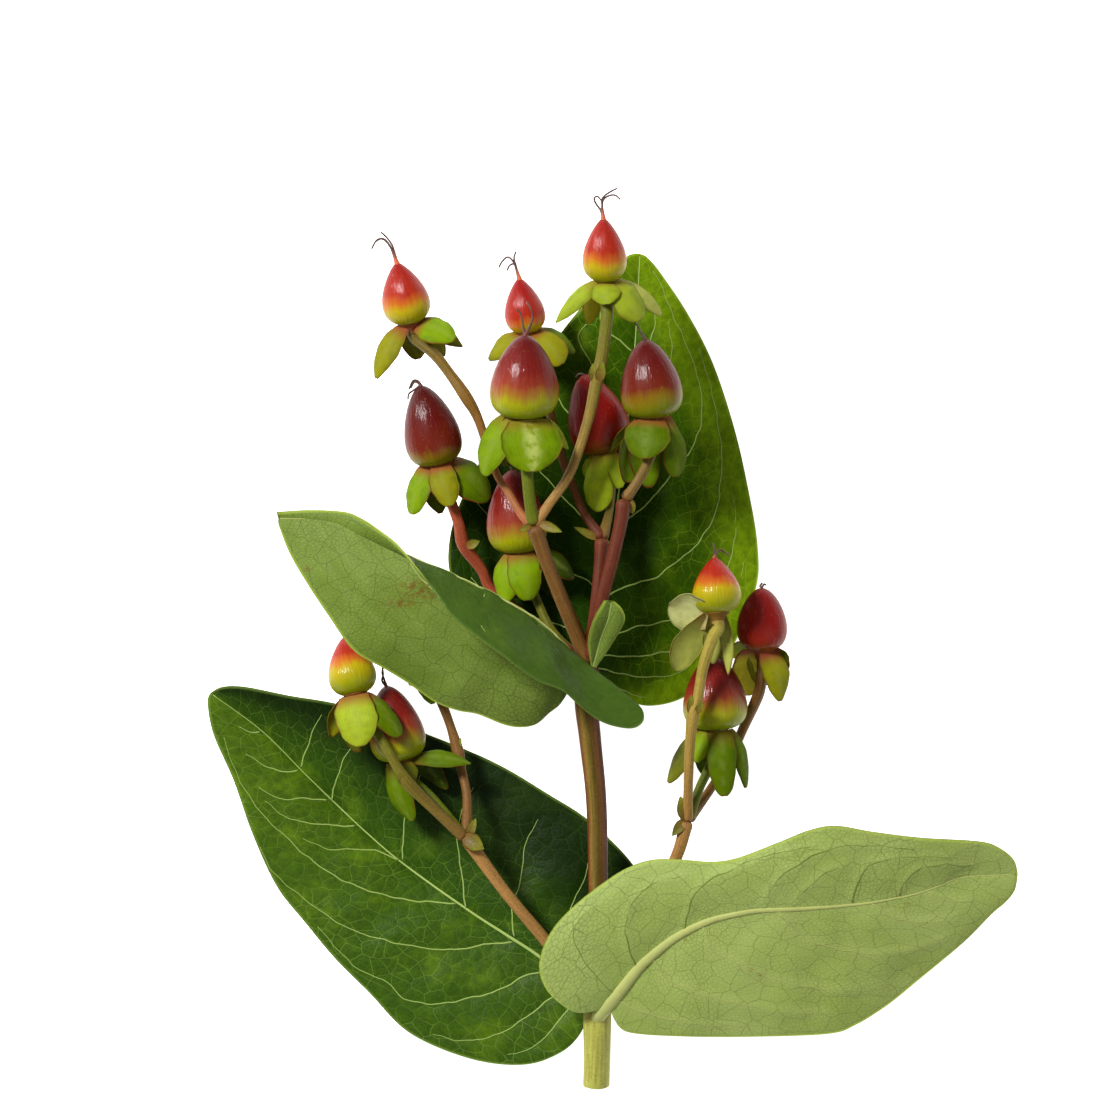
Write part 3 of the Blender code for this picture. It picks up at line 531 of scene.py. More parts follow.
def grid_normals(points):
    """Unit normals of a (rows, columns, 3) grid of points."""
    return unit(np.cross(np.gradient(points, axis=0), np.gradient(points, axis=1)))


def blade_solid(middle, away, thickness):
    """Points and faces of a thin closed blade round a sheet of points, thinner at its rim."""
    normal = grid_normals(middle)
    turned = np.mean(normal @ away) < 0
    normal = -normal if turned else normal
    thin = np.full(middle.shape[:2], thickness / 2)
    thin[:, [0, -1]] *= RIM_THINNING
    thin[[0, -1], :] *= RIM_THINNING
    sides = [middle + normal * thin[..., None], middle - normal * thin[..., None]]
    rows, columns = middle.shape[0] - 1, middle.shape[1] - 1
    return np.concatenate(sides).reshape(-1, 3), np.vstack(blade_faces(rows, columns, turned))


def tube_rings(centres, radii, sides, normals=None, flatness=1.0):
    """Rings of points along the centres. A flat tube's height is along its normals."""
    centres = np.asarray(centres)
    radii = np.broadcast_to(radii, len(centres))
    along = unit(np.gradient(centres, axis=0))
    side = np.cross(along, (0.0, 0.0, 1.0) if normals is None else normals)
    if normals is None:
        side[np.linalg.norm(side, axis=1) < 1e-3] = (1.0, 0.0, 0.0)
    side = unit(side)
    up = np.cross(side, along)
    angle = turns(sides)[None, :, None]
    ring = side[:, None] * np.cos(angle) + up[:, None] * np.sin(angle) * flatness
    return centres[:, None] + ring * radii[:, None, None]


def tube_faces(rings, sides):
    """Side quads and end caps of a tube."""
    faces = []
    for ring in range(rings - 1):
        for side in range(sides):
            a = ring * sides + side
            b = ring * sides + (side + 1) % sides
            faces.append((a, b, b + sides, a + sides))
    faces.append(tuple(range(sides))[::-1])
    faces.append(tuple(range((rings - 1) * sides, rings * sides)))
    return faces


# Values that shaders read as vectors. All others are single numbers.
VECTORS = ("leaf_mm", "colour", "spin", "root_colour", "bark", "grain")


class Piece:
    """One piece of the scene: its points, its faces with their skins, and values for its shaders."""

    def __init__(self, node, ending):
        self.node = node
        self.name = node + ending
        self.points = []
        self.faces = []
        self.skins = []
        self.stored = {}
        self.count = 0

    def add(self, points, faces, skin, **stored):
        """skin is one number, or one for each face. Stored rows are repeated to fit the points."""
        points = np.asarray(points).reshape(-1, 3)
        self.points.append(points)
        self.faces += [tuple(int(v) + self.count for v in face) for face in faces]
        self.skins += np.broadcast_to(skin, len(faces)).tolist()
        for key, values in stored.items():
            rows = np.asarray(values, dtype=float).reshape(-1, 3 if key in VECTORS else 1)
            rows = np.tile(rows, (len(points) // len(rows), 1))
            self.stored.setdefault(key, []).append((self.count, rows))
        self.count += len(points)

    def add_tube(self, rings, skin, **stored):
        self.add(rings, tube_faces(*rings.shape[:2]), skin, **stored)

    def finish(self, slot, *materials):
        """Makes the mesh, which takes its node's place."""
        mesh = bpy.data.meshes.new(self.name)
        mesh.from_pydata(np.vstack(self.points).tolist(), [], self.faces)
        mesh.shade_smooth()
        for material in materials:
            mesh.materials.append(material)
        mesh.polygons.foreach_set("material_index", self.skins)
        for key, parts in self.stored.items():
            full = np.zeros((self.count, parts[0][1].shape[1]), dtype=np.float32)
            for start, rows in parts:
                full[start:start + len(rows)] = rows
            kind, field = ("FLOAT_VECTOR", "vector") if key in VECTORS else ("FLOAT", "value")
            mesh.attributes.new(key, kind, "POINT").data.foreach_set(field, full.ravel())
        obj = bpy.data.objects.new(self.name, mesh)
        bpy.context.scene.collection.objects.link(obj)
        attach(obj, "root")
        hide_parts(self.node)


class Shader:
    """A material, with a short call for each kind of node that colours it."""

    def __init__(self, name):
        self.material = bpy.data.materials.new(name)
        self.material.use_nodes = True
        self.tree = self.material.node_tree
        self.surface = self.tree.nodes["Principled BSDF"]

    def node(self, kind, inputs=None, **settings):
        made = self.tree.nodes.new("ShaderNode" + kind)
        for key, value in settings.items():
            setattr(made, key, value)
        for key, value in (inputs or {}).items():
            self.put(made.inputs[key], value)
        return made

    def put(self, socket, value):
        if isinstance(value, bpy.types.NodeSocket):
            self.tree.links.new(value, socket)
        elif isinstance(value, tuple) and len(value) == 3 and socket.type == "RGBA":
            socket.default_value = (*value, 1.0)
        else:
            socket.default_value = value

    def read(self, name):
        """A value that the piece stores at its points."""
        kind = "Vector" if name in VECTORS else "Fac"
        return self.node("Attribute", attribute_name=name).outputs[kind]

    def position(self):
        return self.node("TexCoord").outputs["Object"]

    def noise(self, vector, scale, detail=3.0):
        return self.node("TexNoise", {"Vector": vector, "Scale": scale, "Detail": detail}).outputs["Fac"]

    def bend(self, vector, scale):
        """The vector, moved about by smooth noise."""
        shift = self.node("TexNoise", {"Vector": vector, "Scale": scale}).outputs["Color"]
        return self.node("VectorMath", {0: vector, 1: shift}, operation="ADD").outputs[0]

    def cells(self, vector, scale):
        """Distance to the border of the nearest cell."""
        made = self.node("TexVoronoi", {"Vector": vector, "Scale": scale},
                         feature="DISTANCE_TO_EDGE", voronoi_dimensions="2D")
        return made.outputs["Distance"]

    def math(self, operation, *values):
        return self.node("Math", dict(enumerate(values)), operation=operation).outputs[0]

    def plus(self, a, b):
        return self.math("ADD", a, b)

    def times(self, share, *others):
        for other in others:
            share = self.math("MULTIPLY", share, other)
        return share

    def sway(self, value, size):
        """A noise value turned into a shift to both sides of zero."""
        return self.times(self.math("SUBTRACT", value, 0.5), size)

    def band(self, value, low, high, to_low=0.0, to_high=1.0):
        """A soft step from one value to another, between low and high."""
        made = self.node("MapRange", {"Value": value, "From Min": low, "From Max": high,
                                      "To Min": to_low, "To Max": to_high},
                         interpolation_type="SMOOTHSTEP")
        return made.outputs["Result"]

    def fade(self, value, low, high, strongest=1.0):
        return self.band(value, low, high, strongest, 0.0)

    def mix(self, share, a, b, blend="MIX"):
        return self.node("Mix", {0: share, 6: a, 7: b}, data_type="RGBA", blend_type=blend).outputs[2]

    def paint(self, base, colour, *shares):
        """The base with a colour over it, as strong as the product of the shares."""
        return self.mix(self.times(*shares), base, colour)

    def scaled(self, colour, red, green, blue):
        return self.mix(1.0, colour, (red, green, blue), "MULTIPLY")

    def ramp(self, value, stops):
        made = self.node("ValToRGB", {"Fac": value})
        ramp = made.color_ramp
        while len(ramp.elements) < len(stops):
            ramp.elements.new(0.5)
        for element, (share, *colour) in zip(ramp.elements, stops):
            element.position = share
            element.color = (*rgb(*colour), 1.0)
        return made.outputs["Color"]

    def bump(self, height, strength, distance):
        inputs = {"Height": height, "Strength": strength, "Distance": distance}
        return self.node("Bump", inputs).outputs["Normal"]

    def finish(self, colour, roughness, normal=None, **fixed):
        self.put(self.surface.inputs["Base Color"], colour)
        self.put(self.surface.inputs["Roughness"], roughness)
        if normal is not None:
            self.put(self.surface.inputs["Normal"], normal)
        for key, value in fixed.items():
            self.surface.inputs[key.replace("_", " ")].default_value = value
        return self.material


def leaf_top_material(name, deep, plain, sunny, net, net_share, specular):
    """Deep green waxy upper side, shaded and lit by painted shade and painted light, with sunny patches
    of painted light and a pale net between the veins.
    """
    s = Shader(name)
    place = s.read("leaf_mm")
    shade = s.read("shade")
    bent = s.bend(place, 0.35)
    mottle = s.noise(place, 0.8, 4.0)
    lit_patch = s.band(s.noise(place, 0.15), 0.48, 0.7)
    # Painted shade and light: deep green where the leaf is shaded, plain green, then sunny green where
    # it is lit.
    base = s.paint(deep, plain, s.band(shade, 0.0, 0.5))
    base = s.paint(base, sunny, s.band(shade, 0.5, 1.0))
    # Painted light: sunny patches, strongest where the leaf is lit.
    base = s.paint(base, sunny, lit_patch, s.band(shade, 0.1, 0.7, 0.06, 0.6))
    base = s.paint(base, deep, s.band(mottle, 0.3, 0.7), 0.35)
    coarse = s.cells(bent, 0.42)
    fine = s.cells(bent, 1.3)
    shown = s.band(s.noise(place, 0.09, 2.0), 0.35, 0.6, 0.35, 1.0)
    # The pale net fades in the painted shade.
    lit = s.times(shown, s.band(shade, 0.0, 0.5, 0.2, 1.0))
    base = s.paint(base, net, s.fade(coarse, 0.0, 0.036), lit, net_share)
    base = s.paint(base, net, s.fade(fine, 0.0, 0.09), lit, net_share * 0.3)
    base = s.paint(base, net, s.fade(s.read("edge_gap"), 0.1, 0.6), 0.4)
    height = s.plus(s.band(coarse, 0.0, 0.4), s.times(s.band(fine, 0.0, 0.3), 0.35))
    normal = s.bump(height, 0.2, 0.22 * MM)
    return s.finish(base, s.band(mottle, 0.2, 0.8, 0.36, 0.52), normal, Specular_IOR_Level=specular)


def leaf_under_material(name, plain, pale, deep):
    """Matte sage lower side, deeper green in painted shade, with a fine darker net, brown scars and a
    lighter margin.
    """
    s = Shader(name)
    place = s.read("leaf_mm")
    bent = s.bend(place, 0.4)
    fine = s.cells(bent, 1.45)
    shown = s.band(s.noise(place, 0.07, 2.0), 0.35, 0.6, 0.45, 1.0)
    base = s.paint(plain, pale, s.band(s.noise(place, 0.05), 0.3, 0.7))
    # Painted shade: the deep colour where the leaf's painted light is low.
    base = s.paint(base, deep, s.fade(s.read("shade"), 0.0, 1.0, 0.85))
    base = s.paint(base, deep, s.noise(place, 1.6, 4.0), 0.3)
    base = s.paint(base, pale, s.fade(s.read("vein_gap"), 0.2, 2.0, 0.3))
    base = s.paint(base, rgb(106, 82, 18), s.read("scar"), s.band(s.noise(place, 1.3), 0.38, 0.56))
    net = tuple(0.5 * c for c in plain)
    base = s.paint(base, net, s.fade(fine, 0.0, 0.13), shown, 0.62)
    base = s.paint(base, net, s.fade(s.cells(bent, 0.3), 0.0, 0.032), 0.75)
    base = s.paint(base, rgb(154, 172, 58), s.fade(s.read("edge_gap"), 0.1, 0.7), 0.6)
    normal = s.bump(s.band(fine, 0.0, 0.3), 0.24, 0.1 * MM)
    return s.finish(base, 0.6, normal, Specular_IOR_Level=0.2)


def vein_material(name, strong, faint, specular):
    """A vein, in its strong colour along the midrib and nearer to the faint one elsewhere."""
    s = Shader(name)
    base = s.paint(faint, strong, s.band(s.read("vein_rank"), 0.0, 1.0))
    base = s.paint(base, faint, s.noise(s.position(), 900.0, 2.0), 0.3)
    return s.finish(base, 0.5, Specular_IOR_Level=specular)


def sepal_material():
    """Green, with fine lengthwise veins, a painted highlight down the middle, a reddish root and a thin
    brown hem in places.
    """
    s = Shader("sepal_skin")
    across = s.read("across")
    blush = s.read("blush")
    plain = s.read("colour")
    place = s.position()
    mottle = s.noise(place, 700.0, 4.0)
    drift = s.noise(place, 160.0, 2.0)
    fan = s.plus(s.times(across, 22.0), s.times(drift, 6.0))
    lines = s.fade(s.math("ABSOLUTE", s.math("SINE", fan)), 0.0, 0.3)
    dark = s.scaled(plain, 0.5, 0.58, 0.45)
    light = s.scaled(plain, 1.5, 1.42, 2.2)
    base = s.paint(plain, dark, s.band(mottle, 0.35, 0.7, 0.0, 0.5))
    base = s.paint(base, light, s.band(drift, 0.5, 0.75, 0.0, 0.35))
    base = s.paint(base, light, lines, 0.5)
    off_middle = s.math("ABSOLUTE", across)
    # Painted highlight: a pale band down the middle of the sepal, strong on the wide ones.
    base = s.paint(base, rgb(166, 176, 88), s.fade(off_middle, 0.0, 0.5),
                   s.band(mottle, 0.35, 0.6), s.read("stripe"))
    base = s.paint(base, dark, s.band(off_middle, 0.55, 1.0, 0.0, 0.45))
    root = s.fade(s.plus(s.read("along"), s.times(mottle, 0.16)), 0.1, 0.4)
    base = s.paint(base, rgb(134, 66, 40), root, blush)
    hem = s.times(s.fade(s.read("hem"), 0.0, 0.15), s.band(drift, 0.35, 0.6, 0.25, 1.0))
    base = s.paint(base, rgb(104, 48, 20), hem, s.plus(0.3, s.times(blush, 0.7)))
    normal = s.bump(s.plus(s.times(lines, 0.6), mottle), 0.35, 0.12 * MM)
    return s.finish(base, 0.5, normal, Specular_IOR_Level=0.05)


def berry_material(name, stops):
    """Glossy skin, yellow-green at the seat and red above, with fine streaks towards the tip."""
    s = Shader(name)
    spin = s.read("spin")
    place = s.position()
    cloud = s.noise(place, 220.0)
    level = s.plus(s.read("rise"), s.sway(s.noise(spin, 1.0, 4.0), 0.22))
    level = s.plus(level, s.sway(cloud, 0.16))
    specks = s.band(s.noise(place, 2600.0, 2.0), 0.6, 0.8, 0.0, 0.12)
    base = s.paint(s.ramp(level, stops), rgb(214, 170, 110), specks)
    normal = s.bump(s.plus(s.noise(spin, 3.6), s.times(cloud, 0.6)), 0.45, 0.3 * MM)
    s.put(s.surface.inputs["Coat Normal"], normal)
    return s.finish(base, 0.42, normal, Specular_IOR_Level=0.08, Coat_Weight=0.24,
                    Coat_Roughness=0.09)


def stalk_material():
    """Thin bark: lengthwise streaks and warts over the colour that each stalk carries."""
    s = Shader("stalk_bark")
    base = s.read("bark")
    place = s.position()
    grain = s.noise(s.read("grain"), 1.0, 5.0)
    mottle = s.noise(place, 420.0, 4.0)
    warts = s.noise(place, 2600.0, 2.0)
    base = s.paint(base, s.scaled(base, 0.5, 0.42, 0.4), s.band(grain, 0.4, 0.7, 0.0, 0.6))
    base = s.paint(base, s.scaled(base, 1.5, 1.5, 1.6), s.band(mottle, 0.5, 0.8, 0.0, 0.4))
    base = s.paint(base, s.scaled(base, 0.5, 0.42, 0.4), s.band(warts, 0.45, 0.7, 0.0, 0.35))
    normal = s.bump(s.plus(grain, s.times(warts, 0.8)), 0.5, 0.14 * MM)
    return s.finish(base, s.band(mottle, 0.2, 0.8, 0.42, 0.58), normal, Specular_IOR_Level=0.2)


def thread_material():
    """Dry dark thread, with its berry's own colour at the root."""
    s = Shader("style_thread")
    base = s.mix(s.noise(s.position(), 900.0), rgb(44, 26, 22), rgb(92, 54, 38))
    base = s.paint(base, s.read("root_colour"), s.fade(s.read("along"), 0.05, 0.4))
    return s.finish(base, 0.6)


# Upper sides: deep green for painted shade and mottle, plain green, sunny green for painted light, and
# the net. Lower sides: plain, pale, and deep for painted shade and mottle.
LEAF_DARK = leaf_top_material(
    "leaf_top_deep", *shades("20,42,0 50,81,2 106,136,8 150,174,50"), 0.34, 0.03)
LEAF_FRESH = leaf_top_material(
    "leaf_top_fresh", *shades("14,34,0 44,74,5 90,120,12 124,152,62"), 0.4, 0.12)
LEAF_FOLD = leaf_top_material(
    "leaf_top_fold", *shades("44,68,14 62,88,22 76,100,30 96,120,50"), 0.14, 0.15)
LEAF_UNDER = leaf_under_material("leaf_underside_skin", *shades("142,160,78 156,171,96 112,134,36"))
LEAF_UNDER_DEEP = leaf_under_material("leaf_underside_deep", *shades("96,118,34 120,138,60 84,106,18"))
VEIN_TOP = vein_material("vein_pale", *shades("160,180,98 104,136,46"), 0.2)
VEIN_UNDER = vein_material("vein_raised", *shades("176,180,108 100,120,46"), 0.1)
SEPAL = sepal_material()
BERRY_SKINS = {name: berry_material(f"berry_{name}_skin", read_points(stops))
               for name, stops in BERRY_STOPS.items()}
STALK = stalk_material()
THREAD = thread_material()

# Skins of each leaf's upper and lower side.
LEAF_SKINS = {"leaf_upper_back": (LEAF_DARK, LEAF_UNDER_DEEP),
              "leaf_upper_front": (LEAF_FOLD, LEAF_UNDER_DEEP),
              "leaf_lower_left": (LEAF_FRESH, LEAF_UNDER),
              "leaf_lower_right": (LEAF_FRESH, LEAF_UNDER),
              "leaf_young": (LEAF_UNDER_DEEP, LEAF_UNDER_DEEP)}


def leaf_sheet(plan, u, v):
    """Points of the blade's middle sheet, from base to tip and from margin to margin."""
    midrib, left, right = (Path(read_spots(plan[line])) for line in ("midrib", "left", "right"))
    inner = midrib.at(u ** 1.35)
    outer = np.where((v < 0)[..., None], left.at(u), right.at(u))
    across = np.abs(v)[..., None]
    lift = plan["hump"] * MM * 4 * np.abs(v) * (1 - np.abs(v)) * np.sin(math.pi * u)
    points = inner * (1 - across) + outer * across
    points[..., 2] += lift
    return points


def leaf_shade(name, u, v):
    """Painted light on the leaf's green, from 0, painted shade in the heart of the bush, to 1, painted
    light at its sunny edges.
    """
    if name == "leaf_upper_back":
        sunny = 1.15 * np.clip(v, 0, 1) ** 1.6
        tip = 2.1 * np.clip(u - 0.62, 0, 1)
        rim = 0.35 * np.clip((v - 0.88) / 0.12, 0, 1)
        return np.clip(0.05 + sunny + tip - rim, 0, 1)
    if name == "leaf_lower_left":
        return np.clip(0.62 - 0.75 * np.clip(v + 0.1, 0, 1) + 0.3 * np.clip(u - 0.5, 0, 1), 0.02, 1)
    if name == "leaf_upper_front":
        return np.where(v > 0, 0.5, np.clip(0.35 + 0.75 * u, 0, 1))
    return np.full(u.shape, 0.9)


def waves(points, size, height, seed):
    """Smooth random heights over the points."""
    flat = points.reshape(-1, 3) / size
    values = [noise.noise(Vector(p) + Vector((seed, 0, 0))) for p in flat.tolist()]
    return np.array(values).reshape(points.shape[:-1]) * height


def kinks(count, rng):
    """Small sideways steps along a vein, to one side and the other in turn."""
    steps = np.zeros(count + 1)
    side = 1
    k = rng.randint(*KINK_START)
    while k < count:
        steps[k] = side * rng.uniform(*KINK_SIZE) * MM
        side = -side
        k += rng.randint(*KINK_GAP)
    return np.convolve(steps, KINK_SHAPE, mode="same")


def vein_runs(name, plan, sheet, rng):
    """The side veins on the sheet: line, half-widths, nearest points of the sheet, and rank."""
    flat = sheet.reshape(-1, 3)
    tree = tree_of(flat * (1, 1, 0))
    columns = sheet.shape[1]
    runs = []
    for route in VEINS.get(name, []):
        path = Path(read_spots(route))
        count = max(int(path.length / VEIN_STEP), 6)
        line = path.at(np.linspace(0, 1, count + 1))
        shift = kinks(count, rng)
        heading = unit(np.gradient(line, axis=0))
        line[:, 0] += -heading[:, 1] * shift
        line[:, 1] += heading[:, 0] * shift
        found = np.array([tree.find(p)[1] for p in line.tolist()])
        line[:, 2] = smoothed(flat[found, 2], 7)
        width = np.linspace(*VEIN_RADII, count + 1) * MM
        faint = plan["up"] == "under" and found[count // 2] % columns < columns // 2
        runs.append((line, width, found, FAINT_VEIN_RANK if faint else VEIN_RANK))
    return runs


def with_petiole(plan, centres, widths, normals):
    """The midrib's line carried on, wider, to the stem that the leaf grows from."""
    knots = [*read_spots(plan["petiole"]), centres[2], centres[5]]
    stub = Path(knots).at(np.linspace(0, 0.97, PETIOLE_RINGS))
    wide = np.linspace(PETIOLE_RADIUS, widths[5], PETIOLE_RINGS)
    tilt = np.broadcast_to(normals[5], (PETIOLE_RINGS, 3))
    return (np.vstack([stub, centres[5:]]), np.concatenate([wide, widths[5:]]),
            np.vstack([tilt, normals[5:]]))


def add_veins(piece, plan, sheet, normal, runs):
    """The midrib and the side veins on both sides: flat and pale above, raised below."""
    middle = sheet.shape[1] // 2
    shares = np.linspace(0, 1, len(sheet))
    rib_width = (plan["rib"] * (1 - shares) ** 1.5 + RIB_TIP) * MM
    lines = [(sheet[:, middle], rib_width, normal[:, middle], RIB_RANK)]
    for line, width, found, rank in runs:
        level = smoothed(sheet.reshape(-1, 3)[found, 2], 5)
        line = np.column_stack([line[:, :2], level])
        lines.append((line, width, normal.reshape(-1, 3)[found], rank))
    top_is_up = plan["up"] == "top"
    for line, width, normals, rank in lines:
        is_rib = rank == RIB_RANK
        keep = slice(1, -1, 2 if is_rib else 1)
        for sign in (1, -1):
            on_top = (sign > 0) == top_is_up
            widths = width * (FOLDED_RIB_SHARE if on_top and not top_is_up else 1.0)
            sink = widths[:, None] * VEIN_SINK
            if on_top and not is_rib:
                sink = sink - TOP_VEIN_LIFT
            centres = line + normals * sign * (LEAF_THICKNESS / 2 - sink)
            run = (centres[keep], widths[keep], normals[keep])
            sides = VEIN_SIDES
            if is_rib and sign > 0 and "petiole" in plan:
                run = with_petiole(plan, *run)
                sides = PETIOLE_SIDES
            rings = tube_rings(run[0], run[1], sides, run[2], 0.45 if on_top else 0.7)
            piece.add_tube(rings, 2 if on_top else 3, vein_rank=rank)


def leaf_scars(name, sheet):
    """How brown each point of the sheet is, from 0 to 1."""
    flat = sheet.reshape(-1, 3)[:, :2]
    scar = np.zeros(len(flat))
    for x, y, wide, high in read_points(SCARS.get(name, "")):
        away = (flat - np.array(spot(x, y))[:2]) / PIXEL / (wide, high)
        scar = np.maximum(scar, np.exp(-np.sum(away ** 2, axis=1)))
    return scar


def make_leaf(name, plan):
    """A blade with quilted relief round its veins, waves, and the veins themselves."""
    rng = random.Random(SEED + len(name))
    rows, columns = YOUNG_LEAF_GRID if name == "leaf_young" else LEAF_GRID
    middle = columns // 2
    u, v = blade_grid(rows, columns)
    sheet = leaf_sheet(plan, u, v)
    normal = grid_normals(sheet)
    turned = np.mean(normal[:, :middle, 2]) < 0
    upward = -1 if turned else 1
    rib = sheet[:, middle]
    runs = vein_runs(name, plan, sheet, rng)

    near_vein = tree_of(np.vstack([rib] + [run[0] for run in runs]))
    gap = np.array([near_vein.find(p)[2] for p in sheet.reshape(-1, 3).tolist()])
    gap = gap.reshape(u.shape) / MM
    wave = waves(sheet, *BROAD_WAVE, len(name)) + waves(sheet, *SMALL_WAVE, 9)
    wave = wave * np.clip(np.sin(math.pi * u), 0, 1) ** 0.5
    top_is_up = plan["up"] == "top"
    dip = -np.exp(-(gap / QUILT_REACH) ** 2) * QUILT_DEPTH * (1.0 if top_is_up else -1.0)
    fade = np.clip((1 - np.abs(v)) * 6, 0, 1) * np.clip(u * 12, 0, 1) * np.clip((1 - u) * 12, 0, 1)
    sheet = sheet + normal * upward * ((dip + wave) * fade)[..., None]
    normal = grid_normals(sheet) * upward

    length = np.cumsum(np.linalg.norm(np.diff(rib, axis=0, prepend=rib[:1]), axis=1)) / MM
    half_width = np.linalg.norm(sheet - sheet[:, middle:middle + 1], axis=-1) / MM
    flat = np.stack([half_width * np.sign(v), np.broadcast_to(length[:, None], u.shape),
                     np.zeros_like(u)], axis=-1)
    edge = np.where(v < 0, half_width[:, [0]], half_width[:, [-1]]) - half_width

    piece = Piece(name, "_blade")
    half_thick = normal * (LEAF_THICKNESS / 2) * np.clip(edge / 0.5, 0.25, 1.0)[..., None]
    faces = blade_faces(rows, columns, turned)
    sides = (0, 1, 1) if top_is_up else (1, 0, 1)
    # Each point also stores its painted light and shade, 0 for painted shade to 1 for painted light.
    piece.add(np.stack([sheet + half_thick, sheet - half_thick]), np.vstack(faces),
              np.repeat(sides, [len(part) for part in faces]), scar=leaf_scars(name, sheet),
              leaf_mm=flat, vein_gap=gap, edge_gap=edge, shade=leaf_shade(name, u, v))
    add_veins(piece, plan, sheet, normal, runs)
    piece.finish(plan["slot"], *LEAF_SKINS[name], VEIN_TOP, VEIN_UNDER)


def fruit_frame(fruit):
    """Seat, axis towards the berry's tip, the direction across it that faces up, and the side."""
    seat, tip = spot(*fruit.seat), spot(*fruit.tip)
    axis = (tip - seat).normalized()
    facing = (Vector((0, 0, 1)) - axis * axis.z).normalized()
    return seat, axis, facing, axis.cross(facing)


def berry_radius(share, bulge, fullness):
    """Radius of the egg-shaped berry, as a share of its widest, from its seat to its tip."""
    return np.sin(math.pi * share ** bulge) ** fullness


def add_styles(piece, name, fruit, axis, facing):
    """The dried styles: threads with a broad root, from the berry's tip."""
    tip = np.array(spot(*fruit.tip))
    shares = np.linspace(0, 1, STYLE_RINGS)
    for route in STYLES[name]:
        knots = [tip - axis * STYLE_ROOT]
        for k, (x, y) in enumerate(read_points(route)):
            away = STYLE_SPREAD * k * (1 if k % 2 else 0.4)
            knots.append(np.array(spot(x, y, fruit.tip[2] - STYLE_DROP * k)) + facing * away)
        thick = np.interp(shares, *STYLE_TAPER) * STYLE_RADIUS
        piece.add_tube(tube_rings(Path(knots).at(shares), thick, STYLE_SIDES), 1,
                       along=np.repeat(shares, STYLE_SIDES), root_colour=TIP_COLOURS[fruit.skin])


def make_berry(name, fruit):
    """An egg with three faint lobes and its styles."""
    rng = random.Random(SEED * 31 + len(name) * 7 + int(fruit.seat[0]))
    seat, axis, facing, side = fruit_frame(fruit)
    length = (spot(*fruit.tip) - seat).length + BERRY_SINK
    share = (1 - np.cos(np.linspace(0, math.pi, BERRY_RINGS + 1))) / 2
    share[0], share[-1] = 0.0, 1.0
    angle = turns(BERRY_SIDES)
    shape = OWN_SHAPES.get(name, YOUNG_SHAPE if fruit.skin == "young" else RIPE_SHAPE)
    radius = berry_radius(np.clip(share, 1e-6, 1 - 1e-6), *shape) * fruit.width / 2 * MM
    radius = np.maximum(radius, BERRY_TIP_RADIUS * (share > 0.5))
    turn = rng.uniform(0, math.tau)
    lobes = 1 - LOBE_DEPTH * (1 + np.cos(3 * (angle - turn))) * np.sin(math.pi * share)[:, None]
    wobble = 1 + LOBE_DEPTH * np.sin(2 * angle + rng.uniform(0, 6))
    seat, axis, facing, side = (np.array(w) for w in (seat, axis, facing, side))
    ring = facing * np.cos(angle)[:, None] + side * np.sin(angle)[:, None]
    rings = (seat + axis * (share * length - BERRY_SINK)[:, None, None]
             + ring * (radius[:, None] * lobes * wobble)[..., None])
    rise = np.repeat(share, BERRY_SIDES)
    around = [np.tile(wave(angle) * 3.2, len(share)) for wave in (np.cos, np.sin)]
    spin = np.stack([*around, rise * 1.3 + rng.uniform(0, 40)], axis=-1)
    piece = Piece("berry_" + name, "_skin")
    piece.add_tube(rings, 0, rise=rise + fruit.redness, spin=spin)
    add_styles(piece, name, fruit, axis, facing)
    piece.finish("berry_young" if fruit.skin == "young" else "berry_ripe",
                 BERRY_SKINS[fruit.skin], THREAD)


def sepal_width(share, kind):
    """Half-width of a sepal, as a share of its widest, from root to tip."""
    first, last, power, lean = OUTLINES[kind]
    return np.sin(math.pi * (first + (last - first) * share ** lean)) ** power


def sepal_frame(seat, axis, tip, reach):
    """Root of a sepal, the way along it, the way it faces and the way across it."""
    lean = tip - seat
    outward = (lean - axis * lean.dot(axis)).normalized()
    root = seat - axis * SEPAL_ROOT_DROP + outward * reach
    along = tip - root
    round_stalk = axis.cross(outward)
    flat = Vector((0, 0, 1)).cross(along).normalized()
    if flat.dot(round_stalk) < 0:
        flat = -flat
    across = (round_stalk + flat).normalized()
    away = along.cross(across).normalized()
    if away.dot(outward + axis) < 0:
        away = -away
    return root, along, away, across


